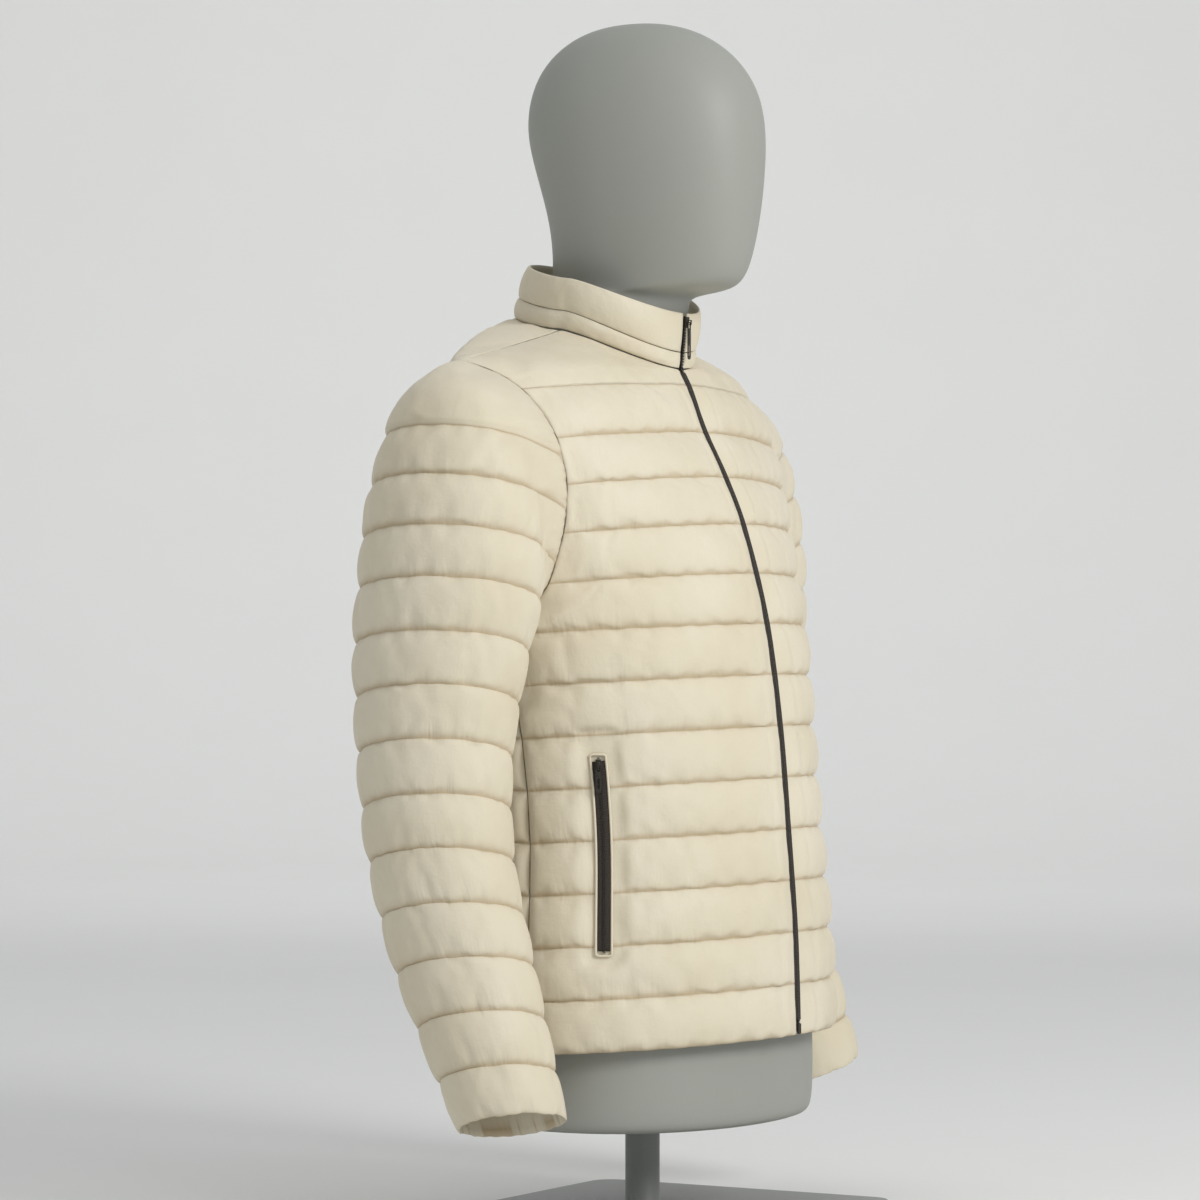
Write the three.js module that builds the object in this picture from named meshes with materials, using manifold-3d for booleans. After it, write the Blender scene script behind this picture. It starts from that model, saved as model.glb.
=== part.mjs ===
// Puffer jacket with horizontal quilting, on the limbless display form and stand that carry it.
// Millimetres, +Z up, the front toward -Y, the wearer's left toward +X. The origin is the middle of the
// plate's underside, below the pole. "out" is a distance from the middle plane, on either side of it.
import * as THREE from 'three';
import { mergeVertices } from 'three/addons/utils/BufferGeometryUtils.js';
import Module from 'manifold-3d';

const wasm = await Module();
wasm.setup();

// Cloth and quilting
const WALL = 1.6; // both cloths and the pressed wadding along a stitch line
const SEAM_GAP = 0.3; // between pieces that a seam joins
const PUFF = 6.5; // how far a filled channel stands over its stitch lines
const PITCH = 45.6; // cloth between two stitch lines
const BODY_CHANNELS = 13; // channels from the hem to the foot of the yoke
const CHANNEL_STEPS = 3; // facets across one channel
const HEM_Z = 173;
const SIDE_DROP = 10; // how far a stitch line sinks from the zip to the side
const EDGE_PRESS = 9; // width of the pressed edge beside a seam

// Where the stitch lines of the body lie: half the width, and the places of front, side and back
const BODY = [
  { z: 150, half: 201, front: -160, side: 0, back: 141 },
  { z: 173, half: 200, front: -159, side: 0, back: 141 },
  { z: 262, half: 192, front: -156, side: 3, back: 143 },
  { z: 353, half: 182, front: -149, side: 8, back: 147 },
  { z: 443, half: 184, front: -141, side: 16, back: 152 },
  { z: 538, half: 199, front: -127, side: 28, back: 158 },
  { z: 622, half: 204, front: -104, side: 36, back: 162 },
  { z: 667, half: 206, front: -85, side: 40, back: 161 },
  { z: 708, half: 206, front: -64, side: 43, back: 155 },
  { z: 748, half: 204, front: -48, side: 46, back: 144 },
  { z: 763, half: 203, front: -40, side: 48, back: 138 },
];

// The armhole seam, from the shoulder down the front, under the arm and up the back
const ARMHOLE = [
  { out: 222, y: 55, z: 763 },
  { out: 203, y: 8, z: 742 },
  { out: 194, y: -25, z: 700 },
  { out: 190, y: -35, z: 650 },
  { out: 191, y: -27, z: 598 },
  { out: 194, y: -8, z: 556 },
  { out: 199, y: 28, z: 538 },
  { out: 196, y: 72, z: 556 },
  { out: 191, y: 98, z: 600 },
  { out: 189, y: 108, z: 655 },
  { out: 193, y: 104, z: 703 },
  { out: 205, y: 84, z: 745 },
];

// Rings of the sleeve below the armhole: its outer and inner point, its middle, its half depth from front
// to back, how fast its front rises, and how much further back the left sleeve hangs than the right one
const SLEEVE = [
  { out: 279, outZ: 739, inner: 200.5, innerZ: 539, y: 38, depth: 76, rise: 0, leftBack: 24 },
  { out: 316, outZ: 668, inner: 202, innerZ: 535, y: 35, depth: 79, rise: 0, leftBack: 31 },
  { out: 331, outZ: 590, inner: 205, innerZ: 524, y: 36, depth: 78, rise: 0.02, leftBack: 30 },
  { out: 336, outZ: 531, inner: 209, innerZ: 504, y: 40, depth: 75, rise: 0.03, leftBack: 28 },
  { out: 338, outZ: 438, inner: 219, innerZ: 414, y: 43, depth: 65, rise: 0.08, leftBack: 22 },
  { out: 336, outZ: 348, inner: 223, innerZ: 325, y: 36, depth: 60, rise: 0.13, leftBack: 20 },
  { out: 330, outZ: 256, inner: 223, innerZ: 235, y: 15, depth: 56.5, rise: 0.19, leftBack: 15 },
  { out: 315, outZ: 119, inner: 224, innerZ: 101, y: -29, depth: 42.5, rise: 0.25, leftBack: 3 },
];
const SLEEVE_LINES = 13; // stitch lines across the sleeve, above the cuff's edge
const SLEEVE_LINE_Z = 712; // height of the topmost one at the outer side
const SLEEVE_COLUMNS = 20;

// Stand collar: three loops round the neck, each with its middle, half width, half depths and heights
const COLLAR = {
  base: { y: 40, half: 78, ahead: 80, behind: 80, frontZ: 763, sideZ: 797, backZ: 813 },
  seam: { y: 36.5, half: 80, ahead: 78, behind: 79, frontZ: 777, sideZ: 813, backZ: 832 },
  top: { y: 27, half: 86, ahead: 71.5, behind: 76, frontZ: 812, sideZ: 841, backZ: 860 },
};
const COLLAR_DIP = 1.3; // how late its edges leave the height that they have at the side
const COLLAR_WALL = 2.4;
const COLLAR_PUFF = 4;
const COLLAR_COLUMNS = 30;

// Zips
const ZIP_HALF = 2.6; // half the chain's width
const ZIP_THICK = 1.8;
const ZIP_STOP = { width: 4.6, deep: 1.6, tall: 9 };
const POCKET = { turn: 65.5, top: 422, bottom: 251, half: 6, welt: 2.2, thick: 1.4, raise: 2.2 };

// Form, pole and plate
const PLATE = { width: 360, front: -164, back: 147, thick: 10, corner: 22 };
const POLE_RADIUS = 15.5;
const FORM_CLEAR = 2.6; // between the yoke's inside and the form's shoulders
const FORM_POINTS = 36;
const FORM_BOTTOM = 92;
const BROWN = { color: 0x2a2620, roughness: 0.55, metalness: 0.1 };
const METAL = { color: 0x1e1c1a, roughness: 0.4, metalness: 0.7 };
const CLOTH = { color: 0xcdc0aa, roughness: 0.85, metalness: 0 };
const GREY = { color: 0x96988f, roughness: 0.7, metalness: 0 };

const jacket = new THREE.Group();
const vec = (x, y, z) => new THREE.Vector3(x, y, z);
const rad = THREE.MathUtils.degToRad;
const mix = THREE.MathUtils.lerp;
const clamp01 = (t) => THREE.MathUtils.clamp(t, 0, 1);

function addMesh(name, geometry, look) {
  const mesh = new THREE.Mesh(geometry, new THREE.MeshStandardMaterial(look));
  mesh.name = name;
  jacket.add(mesh);
  return mesh;
}

// Smooth value of one column of a table at a height between its rows
function smoothAt(table, key, z, along = 'z') {
  const last = table.length - 1;
  let i = 0;
  while (i < last - 1 && z > table[i + 1][along]) i += 1;
  const slope = (k) => {
    const a = table[Math.max(k - 1, 0)];
    const b = table[Math.min(k + 1, last)];
    return (b[key] - a[key]) / (b[along] - a[along]);
  };
  const span = table[i + 1][along] - table[i][along];
  const t = clamp01((z - table[i][along]) / span);
  const t2 = t * t;
  const t3 = t2 * t;
  return (2 * t3 - 3 * t2 + 1) * table[i][key] + (t3 - 2 * t2 + t) * span * slope(i)
    + (3 * t2 - 2 * t3) * table[i + 1][key] + (t3 - t2) * span * slope(i + 1);
}

// Solid from triangles of points, turned so that its faces point out
function solidOf(triangles) {
  let volume = 0;
  for (const [a, b, c] of triangles) volume += a.dot(vec().crossVectors(b, c));
  const numbers = [];
  for (const [a, b, c] of triangles) {
    const face = volume < 0 ? [a, c, b] : [a, b, c];
    for (const p of face) numbers.push(p.x, p.y, p.z);
  }
  const geometry = new THREE.BufferGeometry();
  geometry.setAttribute('position', new THREE.Float32BufferAttribute(numbers, 3));
  return mergeVertices(geometry, 1e-4);
}

// The same shape as a solid that can be cut or joined, and back
function solidFrom(geometry) {
  const shape = geometry.clone();
  shape.deleteAttribute('normal');
  shape.deleteAttribute('uv');
  const merged = mergeVertices(shape, 1e-4);
  return new wasm.Manifold(new wasm.Mesh({
    numProp: 3,
    vertProperties: new Float32Array(merged.attributes.position.array),
    triVerts: new Uint32Array(merged.index.array),
  }));
}
function geometryFrom(solid) {
  const mesh = solid.getMesh();
  const geometry = new THREE.BufferGeometry();
  geometry.setAttribute('position', new THREE.BufferAttribute(mesh.vertProperties, 3));
  geometry.setIndex(new THREE.BufferAttribute(mesh.triVerts, 1));
  return geometry;
}
const largestOf = (solid) => solid.decompose().sort((a, b) => b.volume() - a.volume())[0];

const SAME = 1e-3;
function triangle(list, a, b, c) {
  if (a.distanceTo(b) > SAME && b.distanceTo(c) > SAME && c.distanceTo(a) > SAME) list.push([a, b, c]);
}
function quad(list, a, b, c, d) {
  if (a.distanceTo(c) <= b.distanceTo(d)) {
    triangle(list, a, b, c);
    triangle(list, a, c, d);
  } else {
    triangle(list, a, b, d);
    triangle(list, b, c, d);
  }
}

// A cloth wall: rows of outer points, and fewer rows of inner ones. inner[k] lies under outer[under[k]].
function wallOf(outer, inner, under, closed) {
  const faces = [];
  const columns = outer[0].length;
  const next = (j) => (closed ? (j + 1) % columns : j + 1);
  const strips = closed ? columns : columns - 1;
  const lastOuter = outer.length - 1;
  const lastInner = inner.length - 1;
  for (let j = 0; j < strips; j += 1) {
    const k = next(j);
    for (let i = 0; i < lastOuter; i += 1) {
      quad(faces, outer[i][j], outer[i][k], outer[i + 1][k], outer[i + 1][j]);
    }
    for (let i = 0; i < lastInner; i += 1) {
      quad(faces, inner[i][k], inner[i][j], inner[i + 1][j], inner[i + 1][k]);
    }
    quad(faces, outer[0][k], outer[0][j], inner[0][j], inner[0][k]);
    quad(faces, outer[lastOuter][j], outer[lastOuter][k], inner[lastInner][k], inner[lastInner][j]);
  }
  if (!closed) {
    for (const [j, turned] of [[0, false], [columns - 1, true]]) {
      const edge = (a, b, c) => (turned ? triangle(faces, a, c, b) : triangle(faces, a, b, c));
      for (let k = 0; k < lastInner; k += 1) {
        const from = under[k];
        const to = under[k + 1];
        for (let i = from; i < to; i += 1) edge(outer[i][j], outer[i + 1][j], inner[k][j]);
        edge(outer[to][j], inner[k + 1][j], inner[k][j]);
      }
    }
  }
  return solidOf(faces);
}

// A bar swept through rings of points, closed on itself or with flat ends
function barOf(rings, closed) {
  const faces = [];
  const sides = rings[0].length;
  const last = closed ? rings.length : rings.length - 1;
  for (let i = 0; i < last; i += 1) {
    const a = rings[i];
    const b = rings[(i + 1) % rings.length];
    for (let j = 0; j < sides; j += 1) quad(faces, a[j], a[(j + 1) % sides], b[(j + 1) % sides], b[j]);
  }
  if (!closed) {
    for (let j = 1; j < sides - 1; j += 1) {
      triangle(faces, rings[0][0], rings[0][j + 1], rings[0][j]);
      triangle(faces, rings[last][0], rings[last][j], rings[last][j + 1]);
    }
  }
  return solidOf(faces);
}

// Heights of the body's stitch lines at the zip, equally far apart along the cloth
const lineZ = [HEM_Z];
for (let k = 0; k < BODY_CHANNELS; k += 1) {
  const z = lineZ[k] + PITCH / 2;
  const slope = (smoothAt(BODY, 'front', z + 1) - smoothAt(BODY, 'front', z - 1)) / 2;
  lineZ.push(lineZ[k] + PITCH / Math.hypot(1, slope));
}
const heightOf = (level) => {
  const k = THREE.MathUtils.clamp(Math.floor(level), 0, BODY_CHANNELS - 1);
  return mix(lineZ[k], lineZ[k + 1], level - k);
};

// The armhole seam as a closed curve on one side: turn 0 at the shoulder, 0.25 in front, 0.5 under the arm
const armholeCurve = new THREE.CatmullRomCurve3(ARMHOLE.map((p) => vec(p.out, p.y, p.z)), true, 'centripetal');
const armhole = (turn) => armholeCurve.getPoint(((turn % 1) + 1) % 1);
const UNDERARM_Z = ARMHOLE[6].z;
function armholeTurnAt(z, ahead) {
  let low = 0;
  let high = 0.5;
  for (let n = 0; n < 30; n += 1) {
    const half = (low + high) / 2;
    if (armhole(ahead ? half : -half).z > z) low = half;
    else high = half;
  }
  return ahead ? low : -low;
}

// A loop of the collar: turn 0 at the zip, 0.5 at the side of the neck, 1 behind
function collarPoint(loop, turn) {
  const angle = turn * Math.PI;
  const depth = turn < 0.5 ? loop.ahead : loop.behind;
  const ahead = Math.cos(angle);
  const endZ = ahead > 0 ? loop.frontZ : loop.backZ;
  const height = mix(loop.sideZ, endZ, Math.abs(ahead) ** COLLAR_DIP);
  return vec(loop.half * Math.sin(angle), loop.y - depth * ahead, height);
}

// Yoke: level BODY_CHANNELS is its foot, one more is the shoulder seam
const YOKE_NECK = 0.25; // where a yoke row meets the corner of neck and zip or middle of the back
const SHOULDER_ARC = 35; // degrees of bend in the shoulder seam
function rowEnds(level, ahead) {
  const key = ahead ? 'front' : 'back';
  const rise = clamp01(level - BODY_CHANNELS);
  const z = heightOf(Math.min(level, BODY_CHANNELS));
  let centre = vec(0, smoothAt(BODY, key, z), z);
  const sideZ = z - SIDE_DROP;
  let edge = vec(smoothAt(BODY, 'half', sideZ), smoothAt(BODY, 'side', sideZ), sideZ);
  let turn = 0.5;
  if (sideZ > UNDERARM_Z) {
    turn = armholeTurnAt(sideZ, ahead) * (1 - rise);
    edge = armhole(turn);
  }
  let cosine = (smoothAt(BODY, 'side', sideZ) - edge.y) / (smoothAt(BODY, 'side', sideZ) - centre.y);
  if (rise > 0) {
    const neck = collarPoint(COLLAR.base, ahead ? 0 : 1);
    cosine = mix(cosine, Math.cos(rad(SHOULDER_ARC)), rise);
    if (rise < YOKE_NECK) centre.lerp(neck, rise / YOKE_NECK);
    else {
      const round = (rise - YOKE_NECK) / (1 - YOKE_NECK) / 2;
      centre = collarPoint(COLLAR.base, ahead ? round : 1 - round);
    }
  }
  return { centre, edge, arc: Math.acos(THREE.MathUtils.clamp(cosine, 0, 0.9)) };
}

// Point of the body's stitch surface, across 0 at the middle to 1 at the side seam or armhole
function bodyPoint(ahead, across, level, start = 0) {
  const { centre, edge, arc } = rowEnds(level, ahead);
  const from = Math.max(centre.x, start);
  const t = Math.sin(across * arc) / Math.sin(arc);
  const bow = (Math.cos(across * arc) - Math.cos(arc)) / (1 - Math.cos(arc));
  return vec(mix(from, edge.x, t), mix(edge.y, centre.y, bow), mix(centre.z, edge.z, across ** 1.5));
}

// Outward normal of a surface given by a function of two values
function normalOf(surface, u, v, inside) {
  const step = 0.004;
  const du = surface(Math.min(u + step, 1), v).sub(surface(Math.max(u - step, 0), v));
  const dv = surface(u, v + step * 2).sub(surface(u, v - step * 2));
  const normal = du.cross(dv).normalize();
  if (normal.dot(surface(u, v).sub(inside)) < 0) normal.negate();
  return normal;
}

// Height of the filled channel over its stitch lines, 0 at a line and 1 at the crown
const crown = (level) => Math.sin(Math.PI * (level - Math.floor(level + 1e-9))) ** 0.6;

// Columns of a front, as shares of the way from the zip to the side; the pocket lies between two of them
const POCKET_ACROSS = POCKET.turn / 90;
const POCKET_LEVELS = [1.6, 6.1]; // the pressed stretch, counted in channels from the hem
const FRONT_COLUMNS = [0, 0.035, 0.14, 0.26, 0.38, 0.5, 0.61, 0.69, 0.765, 0.86, 0.965, 1];
const bodyLevels = [];
const bodyUnder = [];
for (let k = 0; k <= BODY_CHANNELS; k += 1) {
  bodyUnder.push(bodyLevels.length);
  bodyLevels.push(k);
  if (k < BODY_CHANNELS) for (let n = 1; n < CHANNEL_STEPS; n += 1) bodyLevels.push(k + n / CHANNEL_STEPS);
}
for (const rise of [YOKE_NECK, 0.42, 0.6, 0.8, 1]) {
  bodyUnder.push(bodyLevels.length);
  bodyLevels.push(BODY_CHANNELS + rise);
}

const bodyCore = (z) => vec(0, 20, z);
const CORE_DROP = 60; // the yoke faces away from a point this far below it
const ROW_WIDTH = 255; // cloth from the zip to the side
const ARM_LEVEL = 6.5; // channels from here up lie flatter where the arm hangs against them
const ARM_REACH = 45;
const ARM_PRESSED = 0.35;
function pressBeside(across, level, ahead) {
  const toSide = (1 - across) * ROW_WIDTH;
  const arm = level > ARM_LEVEL ? clamp01(toSide / ARM_REACH) : 1;
  const side = clamp01(toSide / EDGE_PRESS);
  const zip = ahead ? clamp01(across * ROW_WIDTH / EDGE_PRESS) : 1;
  return Math.min(side, zip) * mix(ARM_PRESSED, 1, arm);
}
const POCKET_FLAT = 0.045; // share of a row that lies flat on each side of the pocket
const POCKET_FADE = 0.05;
function pocketPress(across, level) {
  const near = 1 - clamp01((Math.abs(across - POCKET_ACROSS) - POCKET_FLAT) / POCKET_FADE);
  return level < POCKET_LEVELS[1] && level > POCKET_LEVELS[0] ? 1 - near : 1;
}
function bodyWallPoint(ahead, side, across, level, lift) {
  const start = ahead ? ZIP_HALF + SEAM_GAP : 0;
  const surface = (u, v) => bodyPoint(ahead, u, Math.min(v, BODY_CHANNELS + 1), start);
  const p = surface(across, level);
  const core = bodyCore(p.z - CORE_DROP * clamp01(level - BODY_CHANNELS + 1));
  const n = normalOf(surface, across, Math.min(level, BODY_CHANNELS + 0.98), core);
  if (across === 0) n.setX(0).normalize();
  const point = p.addScaledVector(n, lift);
  return vec(point.x * side, point.y, point.z);
}
function bodyOuter(ahead, side, across, level) {
  const filled = level < BODY_CHANNELS ? crown(level) * PUFF : 0;
  const pocket = ahead ? pocketPress(across, level) : 1;
  return bodyWallPoint(ahead, side, across, level, filled * pressBeside(across, level, ahead) * pocket);
}

// Two panels that share a seam each stop half the gap short of it
const SHY = SEAM_GAP / 2;
const UNDERARM_LEVEL = 8.25;
const ARMHOLE_SHY = 0.1;
function shyOfSeams(point, ahead, side, across, level) {
  const p = point.clone();
  if (across === 1 && level > UNDERARM_LEVEL) p.x -= side * ARMHOLE_SHY;
  if (across === 1 && level < UNDERARM_LEVEL) p.y += ahead ? -SHY : SHY;
  if (level > BODY_CHANNELS + 0.99) p.y += ahead ? -SHY : SHY;
  return p;
}
for (const [name, side] of [['front_right', -1], ['front_left', 1]]) {
  const outerPoint = (u, v) => shyOfSeams(bodyOuter(true, side, u, v), true, side, u, v);
  const innerPoint = (u, v) => shyOfSeams(bodyWallPoint(true, side, u, v, -WALL), true, side, u, v);
  const outer = bodyLevels.map((v) => FRONT_COLUMNS.map((u) => outerPoint(u, v)));
  const inner = bodyUnder.map((i) => FRONT_COLUMNS.map((u) => innerPoint(u, bodyLevels[i])));
  addMesh(name, wallOf(outer, inner, bodyUnder, false), CLOTH);
}
const BACK_HALF = [0, 0.13, 0.26, 0.39, 0.52, 0.65, 0.77, 0.88, 0.965, 1];

// The neck lies in the middle of the back's yoke, so above its foot the back has one side and the other
function backRows(side, levels) {
  return levels.map((v) => BACK_HALF.map((u) => shyOfSeams(bodyOuter(false, side, u, v), false, side, u, v)));
}
function backInner(side, levels) {
  return levels.map((v) => BACK_HALF.map((u) => shyOfSeams(
    bodyWallPoint(false, side, u, v, -WALL), false, side, u, v)));
}
{
  const neckLevel = bodyLevels.findIndex((v) => v === BODY_CHANNELS + YOKE_NECK);
  const innerLevels = bodyUnder.map((i) => bodyLevels[i]);
  const right = backRows(-1, bodyLevels);
  const left = backRows(1, bodyLevels);
  const rightIn = backInner(-1, innerLevels);
  const leftIn = backInner(1, innerLevels);
  const faces = [];
  const skin = (rows, flip) => {
    for (let i = 0; i < rows.length - 1; i += 1) {
      for (let j = 0; j < BACK_HALF.length - 1; j += 1) {
        if (flip) quad(faces, rows[i][j], rows[i][j + 1], rows[i + 1][j + 1], rows[i + 1][j]);
        else quad(faces, rows[i][j + 1], rows[i][j], rows[i + 1][j], rows[i + 1][j + 1]);
      }
    }
  };
  skin(left, true);
  skin(right, false);
  skin(leftIn, false);
  skin(rightIn, true);
  for (const [out, inn, flip] of [[left, leftIn, true], [right, rightIn, false]]) {
    const tri = (a, b, c) => (flip ? triangle(faces, a, b, c) : triangle(faces, a, c, b));
    const rim = (o, n) => {
      for (let j = 0; j < BACK_HALF.length - 1; j += 1) {
        tri(o[j], n[j], n[j + 1]);
        tri(o[j], n[j + 1], o[j + 1]);
      }
    };
    rim(out[0], inn[0]);
    rim([...out[out.length - 1]].reverse(), [...inn[inn.length - 1]].reverse());
    const last = BACK_HALF.length - 1;
    for (let k = 0; k < bodyUnder.length - 1; k += 1) {
      const from = bodyUnder[k];
      const to = bodyUnder[k + 1];
      for (let i = from; i < to; i += 1) tri(out[i][last], inn[k][last], out[i + 1][last]);
      tri(out[to][last], inn[k][last], inn[k + 1][last]);
      if (from >= neckLevel) {
        for (let i = from; i < to; i += 1) tri(out[i][0], out[i + 1][0], inn[k][0]);
        tri(out[to][0], inn[k + 1][0], inn[k][0]);
      }
    }
  }
  addMesh('back', solidOf(faces), CLOTH);
}

// Sleeve surface: turn round the tube as the armhole's, and a place from 0 at the armhole to the last ring
function sleeveRing(side, row, turn) {
  const angle = turn * 2 * Math.PI;
  const c = Math.cos(angle);
  const s = Math.sin(angle);
  const back = side > 0 ? row.leftBack : 0;
  const middle = vec((row.out + row.inner) / 2, row.y + back, (row.outZ + row.innerZ) / 2);
  const up = c * (row.outZ - row.innerZ) / 2 + s * row.depth * row.rise;
  return middle.add(vec(c * (row.out - row.inner) / 2, -s * row.depth, up));
}
function sleevePoint(side, turn, place) {
  const start = armhole(turn);
  start.x += SEAM_GAP + SHY;
  const points = [start, ...SLEEVE.map((row) => sleeveRing(side, row, turn))];
  const last = points.length - 1;
  const i = Math.min(Math.floor(Math.max(place, 0)), last - 1);
  const t = clamp01(place - i);
  const p0 = points[Math.max(i - 1, 0)];
  const p3 = points[Math.min(i + 2, last)];
  const value = (key) => {
    const m1 = (points[i + 1][key] - p0[key]) / 2;
    const m2 = (p3[key] - points[i][key]) / 2;
    const t2 = t * t;
    const t3 = t2 * t;
    return (2 * t3 - 3 * t2 + 1) * points[i][key] + (t3 - 2 * t2 + t) * m1
      + (3 * t2 - 2 * t3) * points[i + 1][key] + (t3 - t2) * m2;
  };
  return vec(value('x'), value('y'), value('z'));
}

// How far a point lies above the plane of a stitch line, counted in channels from the cuff's edge
const SLEEVE_OUT = 330;
const SHOULDER_LINE = { lean: 0.25, rise: 0.02, y: 36 }; // how a stitch line falls inward and rises to the back
const CUFF_LINE = { lean: 0.2, rise: 0.25, y: -30 };
function sleeveLevel(point) {
  const down = clamp01((SLEEVE_LINE_Z - point.z) / (SLEEVE_LINES * PITCH));
  const lean = mix(SHOULDER_LINE.lean, CUFF_LINE.lean, down);
  const rise = mix(SHOULDER_LINE.rise, CUFF_LINE.rise, down ** 1.4);
  const middleY = mix(SHOULDER_LINE.y, CUFF_LINE.y, down ** 2);
  const z = point.z + lean * (SLEEVE_OUT - point.x) + rise * (point.y - middleY);
  return (z - SLEEVE_LINE_Z) / PITCH + SLEEVE_LINES;
}
function sleevePlaceAt(side, turn, level) {
  let low = 0;
  let high = SLEEVE.length;
  if (sleeveLevel(sleevePoint(side, turn, 0)) <= level) return 0;
  for (let n = 0; n < 26; n += 1) {
    const half = (low + high) / 2;
    if (sleeveLevel(sleevePoint(side, turn, half)) > level) low = half;
    else high = half;
  }
  return (low + high) / 2;
}
const SLEEVE_TOP_LEVEL = sleeveLevel(sleevePoint(-1, 0, 0));
function sleeveWallPoint(side, turn, level, lift) {
  const place = sleevePlaceAt(side, turn, level);
  const around = (t) => sleevePoint(side, t, Math.max(place, 0.02));
  const along = (w) => sleevePoint(side, turn, w);
  const du = around(turn + 0.01).sub(around(turn - 0.01));
  const base = Math.max(place, 0.03);
  const dv = along(Math.min(base + 0.03, SLEEVE.length)).sub(along(base - 0.03));
  const normal = du.cross(dv).normalize();
  const p = sleevePoint(side, turn, place);
  const q = p.clone().addScaledVector(normal, lift);
  return vec(q.x * side, q.y, q.z);
}
const CAP_FADE = 28; // the sleeve's filling tapers this far toward the armhole seam
const INNER_PUFF = 0.4; // share of the puff on the side that hangs against the body
const sleeveSide = (turn) => (1 + Math.cos(turn * 2 * Math.PI)) / 2; // 1 outside, 0 toward the body
function sleeveLift(side, turn, level) {
  const seam = sleevePoint(side, turn, 0).distanceTo(sleevePoint(side, turn, sleevePlaceAt(side, turn, level)));
  const beside = clamp01(seam / CAP_FADE);
  return PUFF * crown(level) * beside * mix(INNER_PUFF, 1, sleeveSide(turn));
}
const sleeveLevels = [SLEEVE_TOP_LEVEL];
const sleeveUnder = [0];
for (let n = CHANNEL_STEPS - 1; n > 0; n -= 1) {
  sleeveLevels.push(mix(SLEEVE_LINES, SLEEVE_TOP_LEVEL, n / CHANNEL_STEPS));
}
for (let k = SLEEVE_LINES; k >= 0; k -= 1) {
  sleeveUnder.push(sleeveLevels.length);
  sleeveLevels.push(k);
  if (k > 0) for (let n = CHANNEL_STEPS - 1; n > 0; n -= 1) sleeveLevels.push(k - 1 + n / CHANNEL_STEPS);
}
const CUT_SHIFTS = [[0, 0, 0], [1.2, 0, 0], [0.7, 1, 0], [0.9, 0, 1.1], [0.9, 0, -1.1]]; // out, along and up
for (const [name, side] of [['sleeve_right', -1], ['sleeve_left', 1]]) {
  const turns = Array.from({ length: SLEEVE_COLUMNS }, (_, j) => j / SLEEVE_COLUMNS);
  const lift = (turn, level) => (Number.isInteger(level) ? 0 : sleeveLift(side, turn, level));
  const outer = sleeveLevels.map((v) => turns.map((t) => sleeveWallPoint(side, t, v, lift(t, v))));
  const inner = sleeveUnder.map((i) => turns.map((t) => sleeveWallPoint(side, t, sleeveLevels[i], -WALL)));
  const cap = solidFrom(wallOf(outer, inner, sleeveUnder, true));
  let cut = cap;
  for (const [panel, forward] of [['back', 1], [side < 0 ? 'front_right' : 'front_left', -1]]) {
    const body = solidFrom(jacket.getObjectByName(panel).geometry);
    for (const [out, along, up] of CUT_SHIFTS) {
      cut = cut.subtract(body.translate([side * out, forward * along, up].map((shift) => shift * SEAM_GAP)));
    }
  }
  addMesh(name, geometryFrom(largestOf(cut)), CLOTH);
}

// Collar bands, open at the zip
function bandPoint(low, high, turn, rise, lift) {
  const side = turn < 0 ? -1 : 1;
  const share = Math.abs(turn);
  const at = (t, v) => collarPoint(low, t).lerp(collarPoint(high, t), v);
  const p = at(share, rise);
  const out = vec(p.x, p.y - mix(low.y, high.y, rise), 0).normalize();
  p.addScaledVector(out, lift);
  return vec(p.x * side, p.y, p.z);
}
const BAND_SHY = 0.005; // share of a band's height that it stops short of its seams
function collarBand(name, low, high, thick) {
  const edge = Math.asin((ZIP_HALF + SEAM_GAP) / low.half) / Math.PI;
  const shares = Array.from({ length: COLLAR_COLUMNS + 1 }, (_, j) => {
    const t = (2 * j) / COLLAR_COLUMNS - 1;
    return Math.sign(t || 1) * (1 - Math.abs(t) * (1 - edge));
  });
  const rows = [0, 0.3, 0.7, 1];
  const besideZip = (t) => clamp01((Math.abs(t) - edge) * 40 + 0.2);
  const lift = (v, t) => (v > 0 && v < 1 ? COLLAR_PUFF * Math.sin(Math.PI * v) ** 0.6 * besideZip(t) : 0);
  const height = (v) => mix(BAND_SHY, 1 - BAND_SHY, v);
  const outer = rows.map((v) => shares.map((t) => bandPoint(low, high, t, height(v), lift(v, t))));
  const inner = [0, 1].map((v) => shares.map((t) => bandPoint(low, high, t, height(v), -thick)));
  return addMesh(name, wallOf(outer, inner, [0, 3], false), CLOTH);
}
collarBand('collar_lower', COLLAR.base, COLLAR.seam, COLLAR_WALL).position.z = SEAM_GAP * 3;
collarBand('collar_upper', COLLAR.seam, COLLAR.top, COLLAR_WALL).position.z = SEAM_GAP * 4;

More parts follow.
